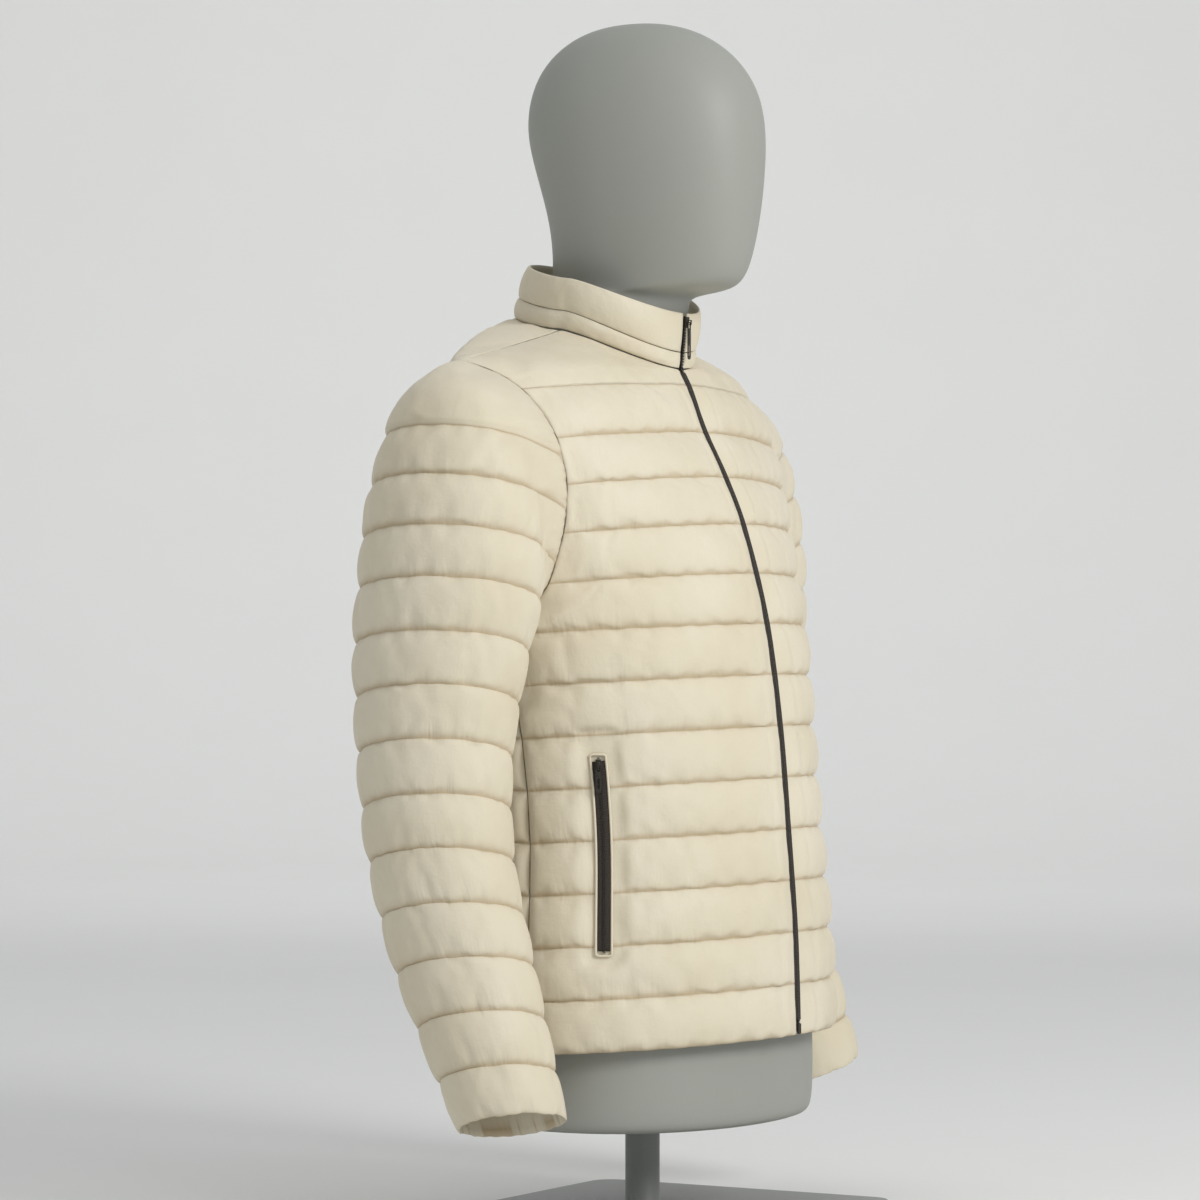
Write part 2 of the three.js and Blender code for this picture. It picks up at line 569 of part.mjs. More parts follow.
// Middle line of the front, where the zip runs: up the body and on up the collar, and its level in channels
function zipLine(level) {
  const neck = collarPoint(COLLAR.base, 0);
  if (level <= BODY_CHANNELS) return rowEnds(level, true).centre;
  if (level <= BODY_CHANNELS + 1) return rowEnds(BODY_CHANNELS, true).centre.lerp(neck, level - BODY_CHANNELS);
  const rise = level - BODY_CHANNELS - 1;
  return collarPoint(COLLAR.base, 0).lerp(collarPoint(COLLAR.top, 0), rise);
}
const CHAIN_SINK = 0.2; // the chain lies this far behind the stitch surface
const CHAIN_END = 0.96; // share of the collar that the chain climbs
{
  const levels = [0.03];
  for (let k = 1; k <= BODY_CHANNELS; k += 0.5) levels.push(k);
  levels.push(BODY_CHANNELS + 0.99, BODY_CHANNELS + 1.5, BODY_CHANNELS + 1 + CHAIN_END);
  const rings = levels.map((level) => {
    const p = zipLine(level);
    const front = p.y + CHAIN_SINK;
    return [[-1, 0], [1, 0], [1, 1], [-1, 1]].map(([x, y]) => vec(x * ZIP_HALF, front + y * ZIP_THICK, p.z));
  });
  addMesh('front_zip_chain', barOf(rings, false), BROWN);
  const foot = zipLine(0.12);
  const { width, deep, tall } = ZIP_STOP;
  const stop = new THREE.BoxGeometry(width, deep, tall);
  addMesh('front_zip_stop', stop.translate(0, foot.y + CHAIN_SINK - SEAM_GAP - deep / 2, foot.z), METAL);
}

// A slider with its bridge, and a pull whose eye bar lies in the bridge. Local frame: x across, y out, z up.
const SLIDER = { width: 6.4, height: 10, thick: 2.4, bridge: 1.8, legs: 1.1, room: 2.6, root: 0.4 };
const PULL = {
  width: 5, length: 33, thick: 1.1, bar: 1.1, arm: 1.05, window: 5.2, nip: 2,
  slot: 2.2, slotLength: 9, slotFoot: 3,
};
function sliderGeometry() {
  const { width, height, thick, bridge, legs, room, root } = SLIDER;
  const half = [[0.6, -1], [1, -0.2], [1, 0.7], [0.6, 1]];
  const outline = [...half, ...half.toReversed().map(([x, z]) => [-x, z])];
  const plate = new THREE.Shape(outline.map(([x, z]) => new THREE.Vector2(x * width / 2, z * height / 2)));
  const body = new THREE.ExtrudeGeometry(plate, { depth: thick, bevelEnabled: false });
  body.rotateX(Math.PI / 2).translate(0, thick, 0);
  const arch = new THREE.Shape();
  const side = room / 2 + legs;
  const crest = room + legs;
  arch.moveTo(-side, -root).lineTo(-room / 2, -root).lineTo(-room / 2, room).lineTo(room / 2, room);
  arch.lineTo(room / 2, -root).lineTo(side, -root).lineTo(side, crest).lineTo(-side, crest).closePath();
  const staple = new THREE.ExtrudeGeometry(arch, { depth: bridge, bevelEnabled: false });
  staple.applyMatrix4(new THREE.Matrix4().set(0, 0, -1, bridge / 2, 0, 1, 0, thick, 1, 0, 0, 0, 0, 0, 0, 1));
  return geometryFrom(solidFrom(body).add(solidFrom(staple)));
}
function pullGeometry(length) {
  const { width, thick, bar, arm, window, nip, slot, slotLength, slotFoot } = PULL;
  const w = width / 2;
  const outline = new THREE.Shape();
  outline.moveTo(-w, 0).lineTo(-w, -length + nip).lineTo(-w + nip, -length).lineTo(w - nip, -length);
  outline.lineTo(w, -length + nip).lineTo(w, 0).lineTo(w - arm, 0).lineTo(w - arm, -bar / 2 - window);
  outline.lineTo(-w + arm, -bar / 2 - window).lineTo(-w + arm, 0).closePath();
  const slotTop = -length + slotFoot + slotLength;
  const slotEnd = -length + slotFoot;
  const hole = new THREE.Path().moveTo(-slot / 2, slotTop).lineTo(slot / 2, slotTop);
  outline.holes.push(hole.lineTo(slot / 2, slotEnd).lineTo(-slot / 2, slotEnd).closePath());
  const tab = new THREE.ExtrudeGeometry(outline, { depth: thick, bevelEnabled: false });
  tab.rotateX(Math.PI / 2).translate(0, thick / 2, 0);
  const eye = new THREE.CylinderGeometry(bar / 2, bar / 2, width, 20).rotateZ(Math.PI / 2);
  return geometryFrom(solidFrom(tab).add(solidFrom(eye)));
}
function placeZipHead(prefix, seat, out, up, length) {
  const across = vec().crossVectors(out, up).normalize();
  const frame = new THREE.Matrix4().makeBasis(across, out, up).setPosition(seat);
  addMesh(`${prefix}_slider`, sliderGeometry().applyMatrix4(frame), METAL);
  const pivot = seat.clone().addScaledVector(out, SLIDER.thick + SLIDER.room / 2);
  const level = new THREE.Matrix4().makeBasis(across, vec().crossVectors(vec(0, 0, 1), across), vec(0, 0, 1));
  addMesh(`${prefix}_pull`, pullGeometry(length).applyMatrix4(level.setPosition(pivot)), METAL);
}
{
  const seat = zipLine(BODY_CHANNELS + 1 + CHAIN_END - 0.1);
  const below = zipLine(BODY_CHANNELS + 1.5);
  const up = seat.clone().sub(below).normalize();
  const out = vec(0, -up.z, up.y).normalize();
  seat.addScaledVector(out, SEAM_GAP - CHAIN_SINK + 0.5);
  placeZipHead('front_zip', seat, out, up, PULL.length);
}

// Hand pockets: a dark zip strip in a narrow welt, set on the pressed part of each front
const POCKET_PULL = 24; // length of its pull
const POCKET_HEAD = 3; // zip above its slider
const ACROSS_MM = 268; // cloth across a row at the pocket's height
function levelAt(z) {
  const k = lineZ.findLastIndex((line) => line <= z);
  return k + (z - lineZ[k]) / PITCH;
}
function pocketPoint(side, across, z, lift) {
  const share = POCKET_ACROSS + across / ACROSS_MM;
  const sink = SIDE_DROP * share ** 1.5;
  return bodyWallPoint(true, side, share, levelAt(z + sink), lift);
}
const POCKET_LIFT = SEAM_GAP + 0.35;
for (const [name, side] of [['right', -1], ['left', 1]]) {
  const { top, bottom, half, welt, thick, raise } = POCKET;
  const steps = 16;
  const heights = Array.from({ length: steps + 1 }, (_, i) => mix(bottom, top, i / steps));
  const strip = heights.map((z) => [[-1, 0], [1, 0], [1, 1], [-1, 1]].map(([a, n]) => pocketPoint(
    side, a * (half - SEAM_GAP), z, POCKET_LIFT + n * thick)));
  addMesh(`pocket_zip_${name}`, barOf(strip, false), BROWN);
  const inner = half;
  const outer = half + welt;
  const path = [];
  const turned = (z) => (z === top) - (z === bottom);
  for (const z of heights) path.push([1, z, turned(z)]);
  for (const z of heights.toReversed()) path.push([-1, z, turned(z)]);
  const rings = path.map(([a, z, end]) => {
    const gap = end * SEAM_GAP;
    const far = end * (SEAM_GAP + welt);
    return [[inner, gap, 0], [outer, far, 0], [outer, far, 1], [inner, gap, 1]].map(([w, dz, n]) => pocketPoint(
      side, a * w, z + dz, POCKET_LIFT + n * raise));
  });
  addMesh(`pocket_welt_${name}`, barOf(rings, true), CLOTH);
  const seatZ = top - SLIDER.height / 2 - POCKET_HEAD;
  const seat = pocketPoint(side, 0, seatZ, POCKET_LIFT + thick + SEAM_GAP);
  const deep = pocketPoint(side, 0, seatZ, 0);
  const out = seat.clone().sub(deep).normalize();
  const flat = vec(out.x, out.y, 0).normalize();
  const across = vec().crossVectors(flat, vec(0, 0, 1)).normalize();
  const up = vec().crossVectors(across, out).normalize();
  placeZipHead(`pocket_${name}`, seat.addScaledVector(out, SHY), out, up, POCKET_PULL);
}

// Display form: rings of torso, shoulders, neck and egg-shaped head, all one skin
const TORSO = [
  { z: 107, half: 177, front: -140, side: -8, back: 124 },
  { z: 173, half: 178, front: -140, side: -6, back: 124 },
  { z: 262, half: 172, front: -136, side: -2, back: 125 },
  { z: 353, half: 164, front: -129, side: 5, back: 128 },
  { z: 443, half: 163, front: -121, side: 14, back: 134 },
  { z: 533, half: 170, front: -110, side: 24, back: 142 },
  { z: 622, half: 179, front: -88, side: 33, back: 148 },
  { z: 680, half: 184, front: -66, side: 38, back: 148 },
  { z: 722, half: 190, front: -48, side: 44, back: 140 },
];
const NECK_AND_HEAD = [
  { z: 818, half: 62, front: -38, side: 29, back: 103 },
  { z: 829, half: 58, front: -39, side: 26, back: 92 },
  { z: 832, half: 55, front: -66, side: 20, back: 90 },
  { z: 835, half: 54, front: -88, side: 12, back: 89 },
  { z: 843, half: 55, front: -99, side: 6, back: 87 },
  { z: 859, half: 60, front: -106, side: 2, back: 85 },
  { z: 886, half: 67, front: -111.5, side: 0, back: 85 },
  { z: 915, half: 73, front: -115.5, side: 0, back: 91 },
  { z: 954, half: 78, front: -118, side: 0, back: 104 },
  { z: 981, half: 78.5, front: -117, side: 0, back: 110 },
  { z: 1008, half: 75, front: -112, side: 0, back: 108 },
  { z: 1034, half: 66, front: -97, side: 0, back: 98 },
  { z: 1054, half: 52, front: -75, side: 1, back: 79 },
  { z: 1067, half: 35, front: -50, side: 2, back: 56 },
  { z: 1073, half: 18, front: -25, side: 3, back: 32 },
];
function ringOf(row, inset = 0, z = row.z) {
  return Array.from({ length: FORM_POINTS }, (_, j) => {
    const angle = (j / FORM_POINTS) * 2 * Math.PI;
    const ahead = Math.cos(angle);
    const depth = ahead > 0 ? row.side - row.front : row.back - row.side;
    const s = Math.sin(angle);
    const squared = (v) => Math.sign(v) * Math.abs(v) ** 0.93;
    return vec(-squared(s) * (row.half - inset), row.side - squared(ahead) * (depth - inset), z);
  });
}

// Ring round the neck on the inside of the yoke, reach 0 at the neck and 1 at the yoke's foot and the armhole
const FRONT_SHARE = 0.5; // share of a quarter turn that the yoke's foot takes, the armhole has the rest
function shoulderRing(reach, clear) {
  return Array.from({ length: FORM_POINTS }, (_, j) => {
    const turn = (j / FORM_POINTS) * 2;
    const side = turn > 0 && turn < 1 ? -1 : 1;
    const fromFront = turn <= 1 ? turn : 2 - turn;
    const ahead = fromFront <= 0.5;
    const quarter = ahead ? fromFront * 2 : (1 - fromFront) * 2;
    const across = Math.min(quarter / FRONT_SHARE, 1);
    const rise = Math.max((quarter - FRONT_SHARE) / (1 - FRONT_SHARE), 0);
    const neckRise = mix(YOKE_NECK, 1, quarter);
    const level = BODY_CHANNELS + mix(neckRise, rise, reach);
    const p = bodyWallPoint(ahead, side, across * reach, level, -WALL - clear);
    return quarter === 0 ? p.setX(0) : p;
  });
}
{
  // Ring inside the collar's foot, this far in and this far down
  const neckRing = (inset, drop) => Array.from({ length: FORM_POINTS }, (_, j) => {
    const turn = (j / FORM_POINTS) * 2;
    const p = collarPoint(COLLAR.base, turn <= 1 ? turn : 2 - turn);
    const middle = vec(0, COLLAR.base.y, p.z);
    p.lerp(middle, inset / p.distanceTo(middle));
    return vec(turn <= 1 ? -p.x : p.x, p.y, p.z - drop);
  });
  const rings = [
    ringOf(TORSO[0], 14, FORM_BOTTOM),
    ringOf(TORSO[0], 4.5, FORM_BOTTOM + 4),
    ...TORSO.map((row) => ringOf(row)),
    shoulderRing(0.9, FORM_CLEAR + 1.2),
    shoulderRing(0.7, FORM_CLEAR),
    shoulderRing(0.45, FORM_CLEAR),
    shoulderRing(0.2, FORM_CLEAR),
    shoulderRing(0.06, FORM_CLEAR),
    neckRing(6.5, 2),
    ...NECK_AND_HEAD.map((row) => ringOf(row)),
  ];
  const faces = [];
  for (let i = 0; i < rings.length - 1; i += 1) {
    for (let j = 0; j < FORM_POINTS; j += 1) {
      const k = (j + 1) % FORM_POINTS;
      quad(faces, rings[i][j], rings[i][k], rings[i + 1][k], rings[i + 1][j]);
    }
  }
  const floor = vec(0, 0, FORM_BOTTOM);
  const crest = vec(0, 3, 1075);
  const last = rings.length - 1;
  for (let j = 0; j < FORM_POINTS; j += 1) {
    const k = (j + 1) % FORM_POINTS;
    triangle(faces, floor, rings[0][k], rings[0][j]);
    triangle(faces, crest, rings[last][j], rings[last][k]);
  }
  addMesh('display_form', solidOf(faces), GREY);
}

// Pole from plate to form, and the plate
{
  const { width, front, back, thick, corner } = PLATE;
  const outline = new THREE.Shape();
  const w = width / 2;
  const arc = (x, y, from) => outline.absarc(x, y, corner, from, from + Math.PI / 2, false);
  arc(w - corner, back - corner, 0);
  arc(-w + corner, back - corner, Math.PI / 2);
  arc(-w + corner, front + corner, Math.PI);
  arc(w - corner, front + corner, Math.PI * 1.5);
  const plate = new THREE.ExtrudeGeometry(outline, { depth: thick, bevelEnabled: false, curveSegments: 6 });
  addMesh('base_plate', plate, GREY);
  const height = FORM_BOTTOM - thick;
  const pole = new THREE.CylinderGeometry(POLE_RADIUS, POLE_RADIUS, height, 32).rotateX(Math.PI / 2);
  addMesh('form_pole', pole.translate(0, 0, thick + height / 2), GREY);
}

export default jacket;
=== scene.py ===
# %% [markdown]
# # A quilted jacket on its display form
# A puffer jacket is a thin shell of nylon, filled with wadding or down and stitched into level channels.
# Here it is worn by a smooth grey display form on a pole and a steel plate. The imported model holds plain
# solids in the right places. This lesson gives each of them its real surface.
# Lengths are in metres, +Z is up, the front of the jacket looks toward -Y.

# %% Load the frame
import math

import bmesh
import bpy
import numpy as np
from mathutils import Matrix, Vector


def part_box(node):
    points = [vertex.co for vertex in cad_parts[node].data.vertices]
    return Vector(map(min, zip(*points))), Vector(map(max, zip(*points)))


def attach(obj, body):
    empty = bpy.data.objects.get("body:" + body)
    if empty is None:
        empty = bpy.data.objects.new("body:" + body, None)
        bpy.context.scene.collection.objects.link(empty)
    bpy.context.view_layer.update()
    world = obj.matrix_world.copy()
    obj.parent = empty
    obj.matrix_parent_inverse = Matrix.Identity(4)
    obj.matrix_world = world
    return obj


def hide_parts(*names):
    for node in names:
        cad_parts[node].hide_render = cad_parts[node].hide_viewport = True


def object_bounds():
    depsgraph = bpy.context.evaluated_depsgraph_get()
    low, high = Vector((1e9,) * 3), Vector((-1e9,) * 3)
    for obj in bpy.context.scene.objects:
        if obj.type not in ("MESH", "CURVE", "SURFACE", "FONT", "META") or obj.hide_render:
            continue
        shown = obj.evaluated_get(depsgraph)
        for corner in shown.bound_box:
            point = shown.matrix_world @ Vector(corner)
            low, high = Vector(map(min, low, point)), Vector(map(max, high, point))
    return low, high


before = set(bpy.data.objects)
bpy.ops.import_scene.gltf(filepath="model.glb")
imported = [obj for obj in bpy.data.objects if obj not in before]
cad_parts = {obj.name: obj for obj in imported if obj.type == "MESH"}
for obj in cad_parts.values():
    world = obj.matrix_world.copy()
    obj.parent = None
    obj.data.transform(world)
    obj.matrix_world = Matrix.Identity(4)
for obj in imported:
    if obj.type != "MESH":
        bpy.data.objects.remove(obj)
CAD_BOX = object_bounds()
BODY = "jacket_and_form"
print("solids in the frame:", len(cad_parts))

# %% [markdown]
# ## Camera
# The picture is taken from the wearer's right front, level with the belly, from a little over four metres.
# A long lens at that distance keeps the sleeves and the stand nearly free of perspective.

# %% Camera
AZIMUTH = math.radians(-60)
toward_camera = Vector((math.sin(AZIMUTH), -math.cos(AZIMUTH), 0))
camera_data = bpy.data.cameras.new("camera")
camera_data.lens = 143.5
camera_data.sensor_width = 36
camera_data.shift_x = -0.0354
camera_data.shift_y = 0.010
camera = bpy.data.objects.new("camera", camera_data)
camera.location = toward_camera * 4.3 + Vector((0, 0, 0.546))
camera.rotation_euler = (-toward_camera).to_track_quat("-Z", "Y").to_euler()
bpy.context.scene.collection.objects.link(camera)
bpy.context.scene.camera = camera

# %% [markdown]
# ## Helpers for meshes
# Every new mesh is made where it stands, so its object stays at the origin. Before an operator runs,
# everything is deselected, because an operator works on all that is selected.


# %% Mesh helpers
def select_only(*objects):
    bpy.ops.object.select_all(action="DESELECT")
    for item in objects:
        item.select_set(True)
    bpy.context.view_layer.objects.active = objects[0]


def object_from(name, vertices, faces, uvs=None, wrap=0.0):
    """A mesh object. wrap is the distance round a closed cloth, so that its map doesn't jump at the seam."""
    mesh = bpy.data.meshes.new(name)
    mesh.from_pydata([tuple(v) for v in vertices], [], [tuple(f) for f in faces])
    if uvs is not None:
        layer = mesh.uv_layers.new(name="cloth")
        index = np.zeros(len(mesh.loops), dtype=np.int32)
        mesh.loops.foreach_get("vertex_index", index)
        corners = np.asarray(uvs, dtype=np.float32)[index]
        for face in mesh.polygons if wrap else ():
            ring = slice(face.loop_start, face.loop_start + face.loop_total)
            u = corners[ring, 0]
            corners[ring, 0] = np.where(u < u.max() - wrap / 2, u + wrap, u)
        layer.data.foreach_set("uv", corners.ravel())
    made = bpy.data.objects.new(name, mesh)
    bpy.context.scene.collection.objects.link(made)
    return made


def apply_modifiers(item):
    select_only(item)
    for modifier in list(item.modifiers):
        bpy.ops.object.modifier_apply(modifier=modifier.name)


def face_outward(item, weld=1e-5):
    """Turns all faces outward. Points closer than weld become one first, and 0 leaves them alone."""
    shape = bmesh.new()
    shape.from_mesh(item.data)
    if weld:
        bmesh.ops.remove_doubles(shape, verts=shape.verts, dist=weld)
    bmesh.ops.recalc_face_normals(shape, faces=shape.faces)
    shape.to_mesh(item.data)
    shape.free()


def join(name, items):
    select_only(*items)
    bpy.ops.object.join()
    items[0].name = name
    items[0].data.name = name
    return items[0]


# %% [markdown]
# ## Helpers for materials
# A colour is written as the hex value that a painter would pick, and turned to linear light once.
# One function adds a node with its settings and its inputs, which are numbers, colours or other sockets.


# %% Material helpers
def colour(code):
    channels = [int(code[i:i + 2], 16) / 255 for i in (1, 3, 5)]
    linear = [c / 12.92 if c <= 0.04045 else ((c + 0.055) / 1.055) ** 2.4 for c in channels]
    return (*linear, 1)


def add_node(material, kind, settings=None, inputs=None):
    node = material.node_tree.nodes.new(kind)
    for key, value in (settings or {}).items():
        setattr(node, key, value)
    for key, value in (inputs or {}).items():
        if isinstance(value, bpy.types.NodeSocket):
            material.node_tree.links.new(value, node.inputs[key])
        else:
            node.inputs[key].default_value = value
    return node


def new_material(name):
    material = bpy.data.materials.new(name)
    material.use_nodes = True
    return material, material.node_tree.nodes["Principled BSDF"]


def wire(material, value, socket):
    material.node_tree.links.new(value, socket)


# %% [markdown]
# ## Cloth of the jacket
# The shell is a matt down-proof nylon taffeta, woven from threads about 0.1 mm apart and lightly rolled,
# so it has a soft sheen and no gloss. Threads that fine vanish in a picture of the whole jacket, so the weave is
# drawn 1.1 mm apart. The dye lies a little unevenly. Shade is painted into the cloth's colour just beside the
# stitch lines, so the creases there look darker. Small gathers fan out of the stitch lines, finer than the mesh can
# hold, so they are bump, strongest just above a stitch line.

# %% Nylon taffeta
CREAM = "#D8CFBA"
CREAM_DEEP = "#D0C5AC"


def nylon_taffeta(name, gathers_and_shade):
    material, shader = new_material(name)
    place = add_node(material, "ShaderNodeTexCoord")
    cloth = add_node(material, "ShaderNodeUVMap", {"uv_map": "cloth"}).outputs["UV"]
    dye = add_node(material, "ShaderNodeTexNoise", {},
                   {"Vector": place.outputs["Object"], "Scale": 9.0, "Detail": 3.0, "Roughness": 0.55})
    tone = add_node(material, "ShaderNodeMix", {"data_type": "RGBA"},
                    {"A": colour(CREAM_DEEP), "B": colour(CREAM)})
    level = add_node(material, "ShaderNodeMapRange", {},
                     {"Value": dye.outputs["Fac"], "From Min": 0.3, "From Max": 0.62})
    wire(material, level.outputs["Result"], tone.inputs["Factor"])
    colour_out = tone.outputs["Result"]
    heights = []
    for stretch in ((900.0, 70.0, 1.0), (70.0, 900.0, 1.0)):
        run = add_node(material, "ShaderNodeMapping", {}, {"Vector": cloth, "Scale": stretch})
        thread = add_node(material, "ShaderNodeTexNoise", {},
                          {"Vector": run.outputs["Vector"], "Scale": 1.0, "Detail": 1.0})
        heights.append(thread.outputs["Fac"])
    weave = add_node(material, "ShaderNodeMath", {"operation": "ADD"}, {0: heights[0], 1: heights[1]})
    bump = add_node(material, "ShaderNodeBump", {},
                    {"Height": weave.outputs[0], "Strength": 0.10, "Distance": 0.0006})
    handle = add_node(material, "ShaderNodeTexNoise", {},
                      {"Vector": place.outputs["Object"], "Scale": 42.0, "Detail": 4.0, "Roughness": 0.6})
    crumple = add_node(material, "ShaderNodeBump", {},
                       {"Height": handle.outputs["Fac"], "Strength": 0.30, "Distance": 0.0035,
                        "Normal": bump.outputs["Normal"]})
    normal = crumple.outputs["Normal"]
    # With this flag the stitch-line mask adds bump gathers and also paints shade into the cloth's colour.
    if gathers_and_shade:
        near = add_node(material, "ShaderNodeAttribute", {"attribute_name": "near_stitch"}).outputs["Fac"]
        fan = add_node(material, "ShaderNodeMapping", {}, {"Vector": cloth, "Scale": (85.0, 14.0, 1.0)})
        pleat = add_node(material, "ShaderNodeTexNoise", {},
                         {"Vector": fan.outputs["Vector"], "Scale": 1.0, "Detail": 2.0, "Roughness": 0.5,
                          "Distortion": 0.3})
        strength = add_node(material, "ShaderNodeMath", {"operation": "MULTIPLY"},
                            {0: pleat.outputs["Fac"], 1: near})
        gather = add_node(material, "ShaderNodeBump", {},
                          {"Height": strength.outputs[0], "Strength": 0.55, "Distance": 0.005,
                           "Normal": normal})
        normal = gather.outputs["Normal"]
        # painted shade: beside each stitch line the cloth's colour is multiplied darker, so the creases there look
        # shaded
        crease_shade = add_node(material, "ShaderNodeMix", {"data_type": "RGBA", "blend_type": "MULTIPLY"},
                          {"A": colour_out, "B": colour("#D8CBB8")})
        depth = add_node(material, "ShaderNodeMath", {"operation": "POWER"}, {0: near, 1: 5.0})
        wire(material, depth.outputs[0], crease_shade.inputs["Factor"])
        colour_out = crease_shade.outputs["Result"]
    wire(material, colour_out, shader.inputs["Base Color"])
    wire(material, normal, shader.inputs["Normal"])
    shader.inputs["Roughness"].default_value = 0.62
    shader.inputs["IOR"].default_value = 1.53
    shader.inputs["Specular IOR Level"].default_value = 0.35
    shader.inputs["Sheen Weight"].default_value = 0.25
    shader.inputs["Sheen Roughness"].default_value = 0.45
    shader.inputs["Sheen Tint"].default_value = colour("#F2E9DA")
    return material


QUILTED = nylon_taffeta("cream nylon taffeta over wadding", gathers_and_shade=True)
BINDING = nylon_taffeta("cream nylon taffeta, folded edge", gathers_and_shade=False)

# %% [markdown]
# ## The jacket's measurements
# The jacket is drawn as tailors do it: a table of half widths and depths at some heights, the armhole
# seam as a closed curve, and rings down the sleeve. They are the measures from which the solids were made.

# %% Measurements
PITCH = 0.0456  # cloth between two stitch lines
CHANNELS = 13
HEM_Z = 0.173
SIDE_DROP = 0.010
WALL = 0.0016
ZIP_HALF = 0.0026
GAP = 0.0003
SEAM_LAP = 0.0005
PUFF = 0.0075
# height, half width, front, side, back
TORSO_ROWS = np.array([
    (150, 201, -160, 0, 141), (173, 200, -159, 0, 141), (262, 192, -156, 3, 143), (353, 182, -149, 8, 147),
    (443, 184, -141, 16, 152), (538, 199, -127, 28, 158), (622, 204, -104, 36, 162), (667, 206, -85, 40, 161),
    (708, 206, -64, 43, 155), (748, 204, -48, 46, 144), (763, 203, -40, 48, 138),
]) / 1000
HALF, FRONT, SIDE, BACK = 1, 2, 3, 4
# distance from the middle, place and height of the armhole seam, from the shoulder round by the front
ARMHOLE = np.array([
    (222, 55, 763), (203, 8, 742), (194, -25, 700), (190, -35, 650), (191, -27, 598), (194, -8, 556),
    (199, 28, 538), (196, 72, 556), (191, 98, 600), (189, 108, 655), (193, 104, 703), (205, 84, 745),
]) / 1000
# outer point, its height, inner point, its height, middle, half depth, rise of the front, left set-back
SLEEVE = [
    (279, 739, 200.5, 539, 38, 76, 0, 24), (316, 668, 202, 535, 35, 79, 0, 31),
    (331, 590, 205, 524, 36, 78, 0.02, 30), (336, 531, 209, 504, 40, 75, 0.03, 28),
    (338, 438, 219, 414, 43, 65, 0.08, 22), (336, 348, 223, 325, 36, 60, 0.13, 20),
    (330, 256, 223, 235, 15, 56.5, 0.19, 15), (315, 119, 224, 101, -29, 42.5, 0.25, 3),
]
SLEEVE_LINES = 13
SLEEVE_LINE_Z = 0.712
# middle, half width, half depth ahead and behind, and the heights in front, at the side and behind
COLLAR_BASE = (40, 78, 80, 80, 763, 797, 813)
COLLAR_SEAM = (36.5, 80, 78, 79, 777, 813, 832)
COLLAR_TOP = (27, 86, 71.5, 76, 812, 841, 860)

# %% [markdown]
# ## Curves through the measurements
# A smooth curve through each column of a table gives the cloth between the measured heights.
# The stitch lines are then marched up the front, equally far apart along the cloth.


# %% Curves
def smooth_at(table, column, z):
    last = len(table) - 1
    i = int(np.clip(np.searchsorted(table[:, 0], z) - 1, 0, last - 1))

    def slope(k):
        a, b = table[max(k - 1, 0)], table[min(k + 1, last)]
        return (b[column] - a[column]) / (b[0] - a[0])

    span = table[i + 1, 0] - table[i, 0]
    t = min(max((z - table[i, 0]) / span, 0), 1)
    t2, t3 = t * t, t * t * t
    return ((2 * t3 - 3 * t2 + 1) * table[i, column] + (t3 - 2 * t2 + t) * span * slope(i)
            + (3 * t2 - 2 * t3) * table[i + 1, column] + (t3 - t2) * span * slope(i + 1))


line_z = [HEM_Z]
for channel in range(CHANNELS):
    middle = line_z[-1] + PITCH / 2
    lean = (smooth_at(TORSO_ROWS, FRONT, middle + 0.001) - smooth_at(TORSO_ROWS, FRONT, middle - 0.001)) / 0.002
    line_z.append(line_z[-1] + PITCH / math.hypot(1, lean))
print("stitch lines on the front from", round(line_z[0], 3), "to", round(line_z[-1], 3))


def height_of(level):
    k = min(max(int(level), 0), CHANNELS - 1)
    return line_z[k] + (line_z[k + 1] - line_z[k]) * (level - k)


def closed_curve(points, count):
    """Centripetal curve through points, closed, as many samples between each pair."""
    rows = []
    n = len(points)
    for i in range(n):
        p0, p1, p2, p3 = (points[(i + k) % n] for k in (-1, 0, 1, 2))
        d0, d1, d2 = (max(np.linalg.norm(b - a) ** 0.5, 1e-6) for a, b in ((p0, p1), (p1, p2), (p2, p3)))
        m1 = ((p1 - p0) / d0 - (p2 - p0) / (d0 + d1) + (p2 - p1) / d1) * d1
        m2 = ((p2 - p1) / d1 - (p3 - p1) / (d1 + d2) + (p3 - p2) / d2) * d1
        for t in np.arange(count) / count:
            t2, t3 = t * t, t * t * t
            rows.append((2 * t3 - 3 * t2 + 1) * p1 + (t3 - 2 * t2 + t) * m1
                        + (3 * t2 - 2 * t3) * p2 + (t3 - t2) * m2)
    return np.array(rows)


SEAM_SAMPLES = 100
seam_curve = closed_curve(ARMHOLE, SEAM_SAMPLES)


def armhole(turn):
    place = (turn % 1) * len(seam_curve)
    i = int(place)
    a, b = seam_curve[i % len(seam_curve)], seam_curve[(i + 1) % len(seam_curve)]
    return a + (b - a) * (place - i)


def armhole_turn_at(z, ahead):
    low, high = 0.0, 0.5
    for _ in range(24):
        half = (low + high) / 2
        if armhole(half if ahead else -half)[2] > z:
            low = half
        else:
            high = half
    return low if ahead else -low


def collar_point(loop, turn):
    y, half, ahead_depth, behind_depth, front_z, side_z, back_z = (value / 1000 for value in loop)
    ahead = math.cos(turn * math.pi)
    depth = ahead_depth if turn < 0.5 else behind_depth
    end_z = front_z if ahead > 0 else back_z
    return np.array((half * math.sin(turn * math.pi), y - depth * ahead,
                     side_z + (end_z - side_z) * abs(ahead) ** 1.3))


# %% [markdown]
# ## Rows of the body
# One row of cloth runs from the zip, or the middle of the back, round to the side seam or the armhole.
# Above the last stitch line the rows turn into the yoke, whose top edge is the shoulder seam.

# %% Rows of the body
YOKE_NECK = 0.25


